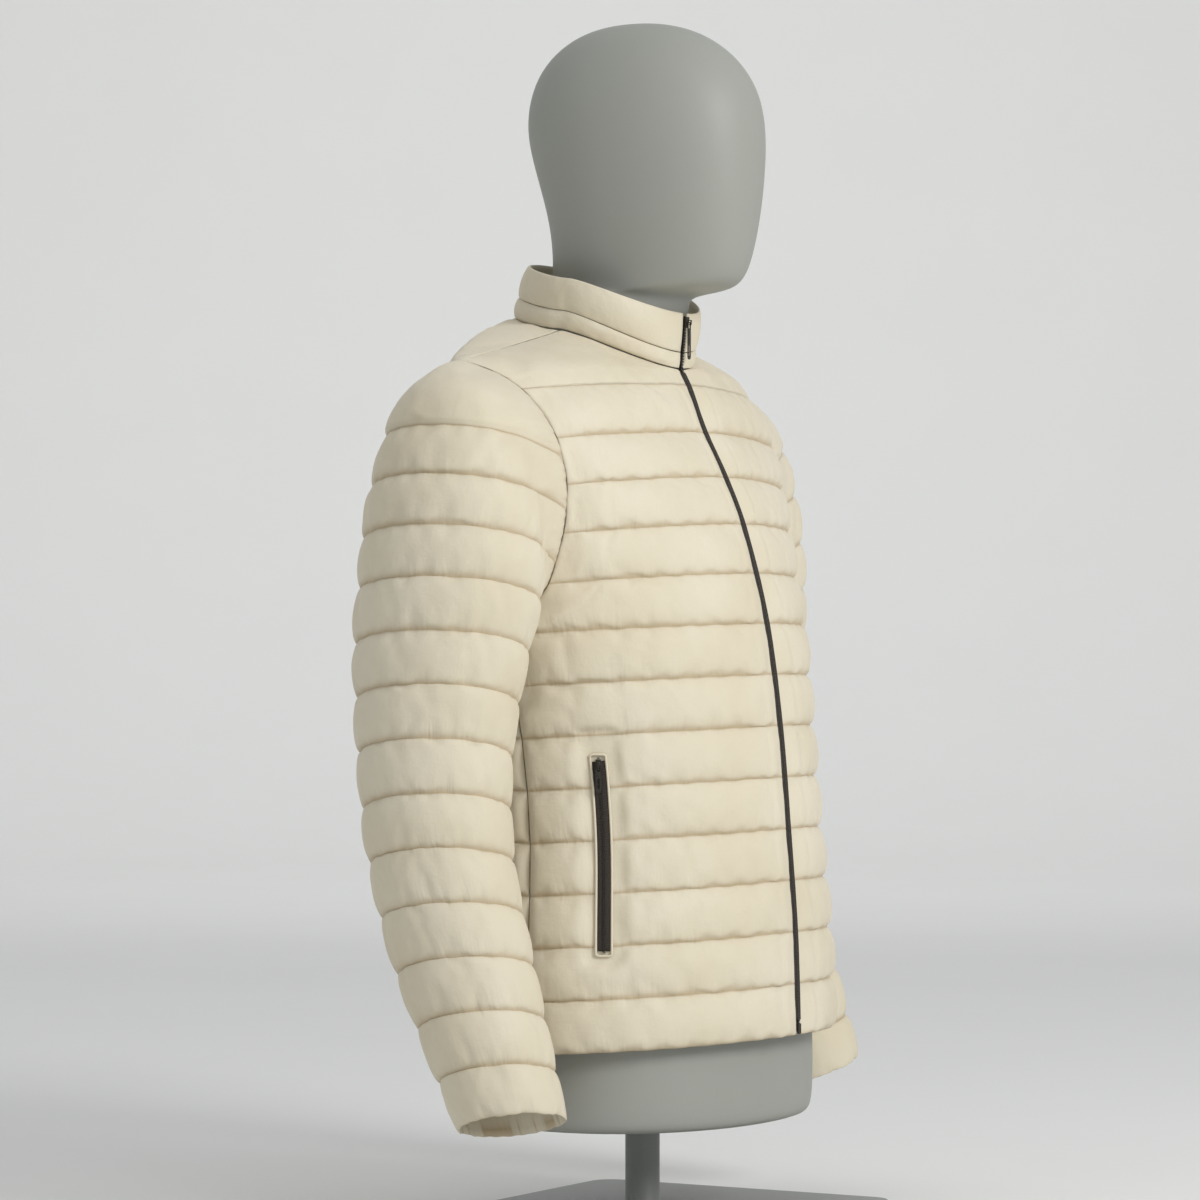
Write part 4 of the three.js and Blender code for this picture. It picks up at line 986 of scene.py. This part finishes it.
def row_of_teeth(name, curve, spacing, size, overlap):
    width, deep, tall = size
    points, faces = tooth_mesh(width, deep, tall)
    at, tangent, out = along(curve, spacing / 2)
    vertices, rings = [], []
    for n, (p, t, o) in enumerate(zip(at, tangent, out)):
        side = 1 if n % 2 else -1
        across = np.cross(t, o)
        local = points * np.array((side, 1, 1)) - np.array((side * (width / 2 - overlap), 0, 0))
        start = len(vertices)
        vertices += list(p + local[:, :1] * across + local[:, 1:2] * -o + local[:, 2:] * t)
        rings += [tuple(start + k for k in (face if side > 0 else face[::-1])) for face in faces]
    teeth = object_from(name, vertices, rings)
    face_outward(teeth, weld=0)
    teeth.data.materials.append(tooth_plastic)
    return teeth


def strip(name, curve, half, thick, sink):
    """Woven tape laid along a curve, with its edges turned a little back."""
    at, tangent, out = along(curve, 0.004)
    shares = np.array((-1, -0.85, -0.3, 0, 0.3, 0.85, 1))
    droop = np.array((0.0004, 0.0001, 0, 0, 0, 0.0001, 0.0004))
    across = np.cross(tangent, out)
    grid = (at[:, None] + across[:, None] * (shares * half)[None, :, None]
            - out[:, None] * (sink + droop)[None, :, None])
    tape = object_from(name, grid.reshape(-1, 3), grid_faces(len(at), len(shares), False))
    face_outward(tape, weld=0)
    if tape.data.polygons[0].normal.dot(Vector(out[0])) < 0:
        tape.data.flip_normals()
    thickness = tape.modifiers.new("tape", "SOLIDIFY")
    thickness.thickness = thick
    thickness.offset = -1
    apply_modifiers(tape)
    tape.data.shade_smooth()
    tape.data.materials.append(tape_cloth)
    return tape


# %% Front zip
def zip_line(level):
    neck, crest = collar_point(COLLAR_BASE, 0), collar_point(COLLAR_TOP, 0)
    if level <= CHANNELS:
        return row_ends(level, True)[0]
    foot = row_ends(CHANNELS, True)[0]
    if level <= CHANNELS + 1:
        return foot + (neck - foot) * (level - CHANNELS)
    return neck + (crest - neck) * (level - CHANNELS - 1)


CHAIN_END = 0.96
TAPE_THICK = 0.0005
FRONT_PITCH, FRONT_TOOTH = 0.0026, (0.0027, 0.0017, 0.0012)
levels = np.concatenate((np.linspace(0.03, CHANNELS, 120),
                         np.linspace(CHANNELS + 0.05, CHANNELS + 1 + CHAIN_END, 30)))
points = np.array([zip_line(level) for level in levels])
points[:, 0] = 0
tangent = np.gradient(points, axis=0)
outward = np.stack((np.zeros(len(points)), -tangent[:, 2], tangent[:, 1]), axis=1)
front_curve = (points, outward / np.linalg.norm(outward, axis=1, keepdims=True))
tape = strip("front_tape", front_curve, 0.0050, TAPE_THICK, 0.0016)
# below the collar a wider tape lies on the edges of the fronts, on both sides of the teeth
shown = (levels > 0.16) & (levels < CHANNELS + 0.97)
facing = strip("front_facing", tuple(part[shown] for part in front_curve), 0.0052, TAPE_THICK, -0.0004)
teeth = row_of_teeth("front_teeth", front_curve, FRONT_PITCH, FRONT_TOOTH, 0.0007)
chain = join("front_zip_chain.made", [teeth, tape, facing])
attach(chain, BODY)
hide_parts("front_zip_chain")
print("front zip has", sum(len(f.vertices) - 2 for f in chain.data.polygons), "triangles")

# the bottom stop, a metal clip pressed round the last teeth
low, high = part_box("front_zip_stop")
stop = cube_of("front_zip_stop.made", tuple(h - l for l, h in zip(low, high)),
               tuple((l + h) / 2 for l, h in zip(low, high)))
edit(stop, "FACE")
pick(stop, lambda f: f.normal.y < -0.9)
bpy.ops.mesh.inset(thickness=0.0008, depth=0.0)
bpy.ops.mesh.extrude_region_move(TRANSFORM_OT_translate={"value": (0, 0.0004, 0)})
done_editing()
round_off = stop.modifiers.new("round", "BEVEL")
round_off.width = 0.0004
round_off.segments = 2
apply_modifiers(stop)
stop.data.materials.append(lacquered_zinc)
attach(stop, BODY)
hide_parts("front_zip_stop")

# %% [markdown]
# ## Sliders and pulls
# A slider is a small zinc casting: a body that runs over the teeth and a bridge on it. The pull is a
# tab whose eye bar lies in the bridge, so it can swing. Both are cut from blocks: the window of the bridge,
# the eye and the slot in the tab are inset faces, joined through the block.


# %% Slider and pull
def soften(item, width):
    bevel = item.modifiers.new("round", "BEVEL")
    bevel.width = width
    bevel.segments = 2
    bevel.limit_method = "ANGLE"
    apply_modifiers(item)
    select_only(item)
    bpy.ops.object.shade_smooth_by_angle(angle=math.radians(40))
    item.data.materials.clear()
    item.data.materials.append(lacquered_zinc)
    return item


def window_through(item, axis, test, margin):
    """Insets the faces on both sides that pass the test, and joins the two insets through the block."""
    edit(item, "FACE")
    pick(item, lambda f: abs(f.normal[axis]) > 0.9 and test(f.calc_center_median()))
    bpy.ops.mesh.inset(thickness=margin, depth=0)
    bpy.ops.mesh.bridge_edge_loops()
    done_editing()


def slider_block():
    body = cube_of("slider", (0.0064, 0.0024, 0.010), (0, 0.0012, 0))
    edit(body, "FACE")
    pick(body, lambda f: f.normal.z < -0.9)
    bpy.ops.transform.resize(value=(0.6, 1, 1))
    pick(body, lambda f: f.normal.z > 0.9)
    bpy.ops.transform.resize(value=(0.78, 1, 1))
    pick(body, lambda f: f.normal.y > 0.9)
    bpy.ops.mesh.inset(thickness=0.0007, depth=0.0004)
    done_editing()
    bridge = cube_of("bridge", (0.0018, 0.0041, 0.0048), (0, 0.0020 + 0.00205, 0))
    window_through(bridge, 0, lambda c: True, 0.0008)
    return join("slider", [soften(body, 0.0004), soften(bridge, 0.0003)])


def pull_tab(length):
    tab = cube_of("pull", (0.005, 0.0011, length + 0.00055), (0, 0, 0.000275 - length / 2))
    for cut in (-0.0064, -length + 0.0135, -length + 0.0020):
        edit(tab, "FACE")
        bpy.ops.mesh.select_all(action="SELECT")
        bpy.ops.mesh.bisect(plane_co=(0, 0, cut), plane_no=(0, 0, 1))
        done_editing()
    window_through(tab, 1, lambda c: c.z > -0.0063, 0.00105)
    window_through(tab, 1, lambda c: -length + 0.0021 < c.z < -length + 0.0134, 0.0014)
    edit(tab, "FACE")
    pick(tab, lambda f: f.normal.z < -0.9 and f.calc_center_median().z < -length + 0.0001)
    bpy.ops.transform.resize(value=(0.55, 0.8, 1))
    done_editing()
    return soften(tab, 0.00022)


def zip_head(prefix, seat, out, up, length, pull_body):
    across = out.cross(up).normalized()
    turned = Matrix((across, out, up)).transposed().to_4x4()
    slider = place_mesh(slider_block(), Matrix.Translation(seat) @ turned)
    slider.name = prefix + "_slider.made"
    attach(slider, BODY)
    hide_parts(prefix + "_slider")
    upright = Vector((0, 0, 1))
    hang = Matrix((across, upright.cross(across), upright)).transposed().to_4x4()
    pull = place_mesh(pull_tab(length), Matrix.Translation(seat + out * 0.0037) @ hang)
    pull.name = prefix + "_pull.made"
    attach(pull, pull_body)
    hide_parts(prefix + "_pull")


seat = Vector(zip_line(CHANNELS + 1 + CHAIN_END - 0.1))
up = (seat - Vector(zip_line(CHANNELS + 1.5))).normalized()
out = Vector((0, -up.z, up.y)).normalized()
zip_head("front_zip", seat + out * 0.0006, out, up, 0.033, "front_zip_pull")

# %% [markdown]
# ## Hand pockets
# Each front has a slanted hand pocket. A zip tape with a dark coil shows in the opening, and a narrow folded
# edge of the shell cloth frames it.

# %% Pockets
POCKET_TOP, POCKET_BOTTOM, POCKET_HALF, WELT = 0.422, 0.251, 0.006, 0.0022
POCKET_LIFT = 0.00065


def front_surface(side, share, level):
    def at(u, v):
        return body_row(True, v, np.array([u]), ZIP_HALF + GAP)[0]
    point = at(share, level)
    normal = np.cross(at(share + 0.004, level) - at(share - 0.004, level),
                      at(share, level + 0.02) - at(share, level - 0.02))
    normal /= np.linalg.norm(normal)
    if normal[1] > 0:
        normal = -normal
    mirror = np.array((side, 1, 1))
    return point * mirror, normal * mirror


def level_at(z):
    k = max(n for n, line in enumerate(line_z) if line <= z)
    return k + (z - line_z[k]) / PITCH


ROW_AT_POCKET = 0.268
WELT_LIFT = POCKET_LIFT + 0.0010
COIL_PITCH, COIL_TOOTH = 0.0024, (0.0022, 0.0011, 0.0010)


def pocket_point(side, across, z, lift):
    share = POCKET_TURN + across / ROW_AT_POCKET
    point, normal = front_surface(side, share, level_at(z + SIDE_DROP * share ** 1.5))
    return point + normal * lift, normal


def swept_edge(name, path, radius_in, radius_out):
    """A folded edge of cloth: an oval section swept round a closed path of points and outward directions."""
    rings = []
    count = len(path)
    for n, (point, normal) in enumerate(path):
        ahead, behind = path[(n + 1) % count][0], path[n - 1][0]
        tangent = ahead - behind
        tangent /= np.linalg.norm(tangent)
        across = np.cross(tangent, normal)
        for k in range(10):
            angle = k / 10 * 2 * math.pi
            rings.append(point + across * math.cos(angle) * radius_in + normal * math.sin(angle) * radius_out)
    faces = []
    for n in range(count):
        for k in range(10):
            faces.append((n * 10 + k, n * 10 + (k + 1) % 10, (n + 1) % count * 10 + (k + 1) % 10,
                          (n + 1) % count * 10 + k))
    item = object_from(name, rings, faces)
    face_outward(item)
    item.data.shade_smooth()
    return item


for name, side in (("right", -1), ("left", 1)):
    heights = np.linspace(POCKET_BOTTOM + 0.001, POCKET_TOP - 0.001, 44)
    laid = [pocket_point(side, 0, z, POCKET_LIFT + 0.0009) for z in heights]
    curve = (np.array([p for p, _ in laid]), np.array([n for _, n in laid]))
    tape = strip("pocket_tape", curve, POCKET_HALF - 0.0004, TAPE_THICK, 0.0)
    coil_curve = (curve[0] + curve[1] * 0.0004, curve[1])
    coil = row_of_teeth("pocket_coil", coil_curve, COIL_PITCH, COIL_TOOTH, 0.0008)
    made = join("pocket_zip_" + name + ".made", [coil, tape])
    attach(made, BODY)
    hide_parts("pocket_zip_" + name)

    reach = POCKET_HALF + WELT / 2
    rises, turns = np.linspace(POCKET_BOTTOM, POCKET_TOP, 60), np.linspace(reach, -reach, 7)[1:-1]
    falls, returns = np.linspace(POCKET_TOP, POCKET_BOTTOM, 60), np.linspace(-reach, reach, 7)[1:-1]
    path = [pocket_point(side, reach, z, WELT_LIFT) for z in rises]
    path += [pocket_point(side, a, POCKET_TOP + 0.0011, WELT_LIFT) for a in turns]
    path += [pocket_point(side, -reach, z, WELT_LIFT) for z in falls]
    path += [pocket_point(side, a, POCKET_BOTTOM - 0.0011, WELT_LIFT) for a in returns]
    welt = swept_edge("pocket_welt_" + name + ".made", path, 0.0011, 0.0011)
    welt.data.materials.append(BINDING)
    welt.data.uv_layers.new(name="cloth")
    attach(welt, BODY)
    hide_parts("pocket_welt_" + name)

    seat_z = POCKET_TOP - 0.005 - 0.003
    seat, deep = (Vector(pocket_point(side, 0, seat_z, lift)[0]) for lift in (POCKET_LIFT + 0.0017, 0))
    out = (seat - deep).normalized()
    flat = Vector((out.x, out.y, 0)).normalized()
    across = flat.cross(Vector((0, 0, 1))).normalized()
    up = across.cross(out).normalized()
    prefix = "pocket_" + name
    zip_head(prefix, seat + out * 0.00015, out, up, 0.024, prefix + "_pull")

# %% [markdown]
# ## Display form
# The form is a glass fibre shell, filled, sanded and sprayed in one matt grey lacquer. It has a smooth egg for a
# head and no limbs. It is drawn as rings from the foot to the crown and rounded by two subdivisions.

# %% Form material
matt_lacquer, shader = new_material("matt grey lacquer on glass fibre")
place = add_node(matt_lacquer, "ShaderNodeTexCoord")
cloud = add_node(matt_lacquer, "ShaderNodeTexNoise", {},
                 {"Vector": place.outputs["Object"], "Scale": 6.0, "Detail": 2.0})
tone = add_node(matt_lacquer, "ShaderNodeMix", {"data_type": "RGBA"},
                {"Factor": cloud.outputs["Fac"], "A": colour("#95968F"), "B": colour("#9B9C95")})
spray = add_node(matt_lacquer, "ShaderNodeTexNoise", {},
                 {"Vector": place.outputs["Object"], "Scale": 520.0, "Detail": 2.0})
peel = add_node(matt_lacquer, "ShaderNodeBump", {},
                {"Height": spray.outputs["Fac"], "Strength": 0.12, "Distance": 0.0006})
wire(matt_lacquer, tone.outputs["Result"], shader.inputs["Base Color"])
wire(matt_lacquer, peel.outputs["Normal"], shader.inputs["Normal"])
shader.inputs["Roughness"].default_value = 0.52
shader.inputs["Specular IOR Level"].default_value = 0.4

# %% Form
# height, half width, front, side, back
FORM_TORSO = np.array([
    (107, 177, -140, -8, 124), (173, 178, -140, -6, 124), (262, 172, -136, -2, 125), (353, 164, -129, 5, 128),
    (443, 163, -121, 14, 134), (533, 170, -110, 24, 142), (622, 179, -88, 33, 148), (680, 184, -66, 38, 148),
    (722, 190, -48, 44, 140),
]) / 1000
FORM_HEAD = np.array([
    (818, 62, -38, 29, 103), (829, 58, -39, 26, 92), (832, 55, -66, 20, 90), (835, 54, -88, 12, 89),
    (843, 55, -99, 6, 87), (859, 60, -106, 2, 85), (886, 67, -111.5, 0, 85), (915, 73, -115.5, 0, 91),
    (954, 78, -118, 0, 104), (981, 78.5, -117, 0, 110), (1008, 75, -112, 0, 108), (1034, 66, -97, 0, 98),
    (1054, 52, -75, 1, 79), (1067, 35, -50, 2, 56), (1073, 18, -25, 3, 32),
]) / 1000
FORM_POINTS = 48
FORM_BOTTOM = 0.092


def form_ring(row, inset=0.0, z=None):
    z_row, half, front, side, back = row
    ring = []
    for j in range(FORM_POINTS):
        angle = j / FORM_POINTS * 2 * math.pi
        c, s = math.cos(angle), math.sin(angle)
        depth = side - front if c > 0 else back - side
        x = -math.copysign(abs(s) ** 0.93, s) * (half - inset)
        y = side - math.copysign(abs(c) ** 0.93, c) * (depth - inset)
        ring.append((x, y, z_row if z is None else z))
    return ring


def shoulder_ring(reach, clear):
    """Ring inside the yoke: reach 0 at the neck, 1 at the yoke's foot and the armhole."""
    ring = []
    for j in range(FORM_POINTS):
        turn = j / FORM_POINTS * 2
        side = -1 if 0 < turn < 1 else 1
        from_front = turn if turn <= 1 else 2 - turn
        ahead = from_front <= 0.5
        quarter = from_front * 2 if ahead else (1 - from_front) * 2
        across = min(quarter / 0.5, 1)
        rise = max((quarter - 0.5) / 0.5, 0)
        neck_rise = YOKE_NECK + (1 - YOKE_NECK) * quarter
        level = CHANNELS + neck_rise + (rise - neck_rise) * reach
        share = across * reach

        def at(u, v):
            return body_row(ahead, v, np.array([u]), ZIP_HALF + GAP if ahead else 0)[0]
        point = at(share, level)
        normal = np.cross(at(min(share + 0.004, 1), level) - at(max(share - 0.004, 0), level),
                          at(share, level + 0.008) - at(share, level - 0.008))
        normal /= np.linalg.norm(normal)
        if np.dot(normal, point - np.array((0, 0.02, point[2] - 0.06))) < 0:
            normal = -normal
        point = point - normal * (WALL + clear)
        ring.append((0 if quarter == 0 else point[0] * side, point[1], point[2]))
    return ring


def neck_ring(inset, drop):
    ring = []
    for j in range(FORM_POINTS):
        turn = j / FORM_POINTS * 2
        point = collar_point(COLLAR_BASE, turn if turn <= 1 else 2 - turn)
        middle = np.array((0, COLLAR_BASE[0] / 1000, point[2]))
        point = point + (middle - point) * inset / np.linalg.norm(point - middle)
        ring.append((-point[0] if turn <= 1 else point[0], point[1], point[2] - drop))
    return ring


CLEAR = 0.0026
rings = [form_ring(FORM_TORSO[0], 0.014, FORM_BOTTOM), form_ring(FORM_TORSO[0], 0.0045, FORM_BOTTOM + 0.004)]
rings += [form_ring(row) for row in FORM_TORSO]
rings.append(shoulder_ring(0.9, CLEAR + 0.0012))
rings += [shoulder_ring(reach, CLEAR) for reach in (0.7, 0.45, 0.2, 0.06)]
rings += [neck_ring(0.0065, 0.002)] + [form_ring(row) for row in FORM_HEAD]
vertices = np.array(rings).reshape(-1, 3)
faces = grid_faces(len(rings), FORM_POINTS, True)
foot, crest = len(vertices), len(vertices) + 1
vertices = np.concatenate((vertices, [(0, 0, FORM_BOTTOM), (0, 0.003, 1.075)]))
for j in range(FORM_POINTS):
    k = (j + 1) % FORM_POINTS
    faces.append((foot, k, j))
    faces.append((crest, (len(rings) - 1) * FORM_POINTS + j, (len(rings) - 1) * FORM_POINTS + k))
form = object_from("display_form.made", vertices, faces)
face_outward(form)
smooth = form.modifiers.new("smooth", "SUBSURF")
smooth.levels = smooth.render_levels = 2
apply_modifiers(form)
form.data.shade_smooth()
form.data.materials.append(matt_lacquer)
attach(form, BODY)
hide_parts("display_form")

# %% [markdown]
# ## Pole and plate
# The stand is steel: a tube welded to a plate with rounded corners, both powder coated in the form's grey. Powder
# coat melts into a very fine, even texture.

# %% Stand
powder_coat, shader = new_material("grey powder coat on steel")
place = add_node(powder_coat, "ShaderNodeTexCoord")
speck = add_node(powder_coat, "ShaderNodeTexNoise", {},
                 {"Vector": place.outputs["Object"], "Scale": 700.0, "Detail": 3.0})
tone = add_node(powder_coat, "ShaderNodeMix", {"data_type": "RGBA"},
                {"Factor": speck.outputs["Fac"], "A": colour("#858785"), "B": colour("#8F918F")})
grit = add_node(powder_coat, "ShaderNodeBump", {},
                {"Height": speck.outputs["Fac"], "Strength": 0.2, "Distance": 0.0004})
wire(powder_coat, tone.outputs["Result"], shader.inputs["Base Color"])
wire(powder_coat, grit.outputs["Normal"], shader.inputs["Normal"])
shader.inputs["Roughness"].default_value = 0.5

low, high = (Vector(corner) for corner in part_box("base_plate"))
plate = cube_of("base_plate.made", tuple(high - low), tuple((low + high) / 2))
edit(plate, "EDGE")
pick(plate, lambda e: abs((e.verts[0].co - e.verts[1].co).normalized().z) > 0.9, "edges")
bpy.ops.mesh.bevel(offset=0.022, segments=10, affect="EDGES")
bpy.ops.mesh.select_all(action="DESELECT")
pick(plate, lambda f: abs(f.normal.z) > 0.9)
bpy.ops.mesh.region_to_loop()
bpy.ops.mesh.bevel(offset=0.0009, segments=3, affect="EDGES")
done_editing()
select_only(plate)
bpy.ops.object.shade_smooth_by_angle(angle=math.radians(40))

low, high = (Vector(corner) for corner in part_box("form_pole"))
bpy.ops.object.select_all(action="DESELECT")
bpy.ops.mesh.primitive_cylinder_add(vertices=64, radius=(high.x - low.x) / 2, depth=high.z - low.z,
                                    location=(low + high) / 2)
pole = bpy.context.object
pole.name = "form_pole.made"
bpy.ops.object.transform_apply(location=True)
for height in (low.z + 0.0016, low.z + 0.004):
    edit(pole, "FACE")
    bpy.ops.mesh.select_all(action="SELECT")
    bpy.ops.mesh.bisect(plane_co=(0, 0, height), plane_no=(0, 0, 1))
    done_editing()
# the weld bead round its foot
edit(pole, "VERT")
pick(pole, lambda v: v.co.z < low.z + 0.002, "verts")
bpy.ops.transform.resize(value=(1.08, 1.08, 1))
done_editing()
select_only(pole)
bpy.ops.object.shade_smooth_by_angle(angle=math.radians(40))
for item, node in ((plate, "base_plate"), (pole, "form_pole")):
    item.data.materials.clear()
    item.data.materials.append(powder_coat)
    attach(item, BODY)
    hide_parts(node)

# %% [markdown]
# ## Studio
# The object stands on a plain pale floor that curves up all round into a pale wall, like a studio cove, so no horizon
# shows from any side. A large soft light to the right of the camera models the puffs. A second one hangs behind
# the object and lights only the wall, and the open sky over the cove lightens the shadows.

# %% Cove
cove_paint, shader = new_material("pale matt studio paint")
shader.inputs["Roughness"].default_value = 0.9
place = add_node(cove_paint, "ShaderNodeTexCoord")
roller = add_node(cove_paint, "ShaderNodeTexNoise", {}, {"Vector": place.outputs["Object"], "Scale": 3.0})
tone = add_node(cove_paint, "ShaderNodeMix", {"data_type": "RGBA"},
                {"Factor": roller.outputs["Fac"], "A": colour("#E6E6E4"), "B": colour("#E9E9E7")})
wire(cove_paint, tone.outputs["Result"], shader.inputs["Base Color"])
profile = [(0.0, 0.0)] + [(r, 0.0) for r in (1.0, 3.0, 6.0)]
profile += [(6 + 2 * math.sin(a), 2 - 2 * math.cos(a)) for a in np.radians(np.arange(10, 91, 10))]
profile += [(8, 4.4)]
TURNS = 96
vertices = [(r * math.cos(a), r * math.sin(a), z) for r, z in profile[1:]
            for a in np.arange(TURNS) / TURNS * 2 * math.pi]
faces = [tuple(reversed(f)) for f in grid_faces(len(profile) - 1, TURNS, True)]
vertices.append((0, 0, 0))
faces += [(len(vertices) - 1, j, (j + 1) % TURNS) for j in range(TURNS)]
cove = object_from("cove", vertices, faces)
face_outward(cove, weld=0)
cove.data.shade_smooth()
cove.data.materials.append(cove_paint)


# %% Lights
def soft_light(name, place, aim, size, power, spread=180):
    data = bpy.data.lights.new(name, "AREA")
    data.shape = "DISK"
    data.size = size
    data.energy = power
    data.spread = math.radians(spread)
    lamp = bpy.data.objects.new(name, data)
    lamp.location = place
    lamp.rotation_euler = (Vector(aim) - Vector(place)).to_track_quat("-Z", "Y").to_euler()
    bpy.context.scene.collection.objects.link(lamp)


image_right = Vector((0.5, -0.866, 0))
middle = (0, 0, 0.6)
soft_light("key", toward_camera * 2.4 + image_right * 2.4 + Vector((0, 0, 2.2)), middle, 1.6, 80)
behind, wall_spot = toward_camera * -2.6 + Vector((0, 0, 3.6)), toward_camera * -8 + Vector((0, 0, 1.6))
soft_light("wall", behind, wall_spot, 2.4, 27, spread=110)
world = bpy.data.worlds.new("sky")
bpy.context.scene.world = world
world.use_nodes = True
world.node_tree.nodes["Background"].inputs["Color"].default_value = colour("#F4F6F8")
world.node_tree.nodes["Background"].inputs["Strength"].default_value = 0.72
bpy.context.scene.view_settings.view_transform = "Standard"

# %% Sizes and finish
low, high = CAD_BOX
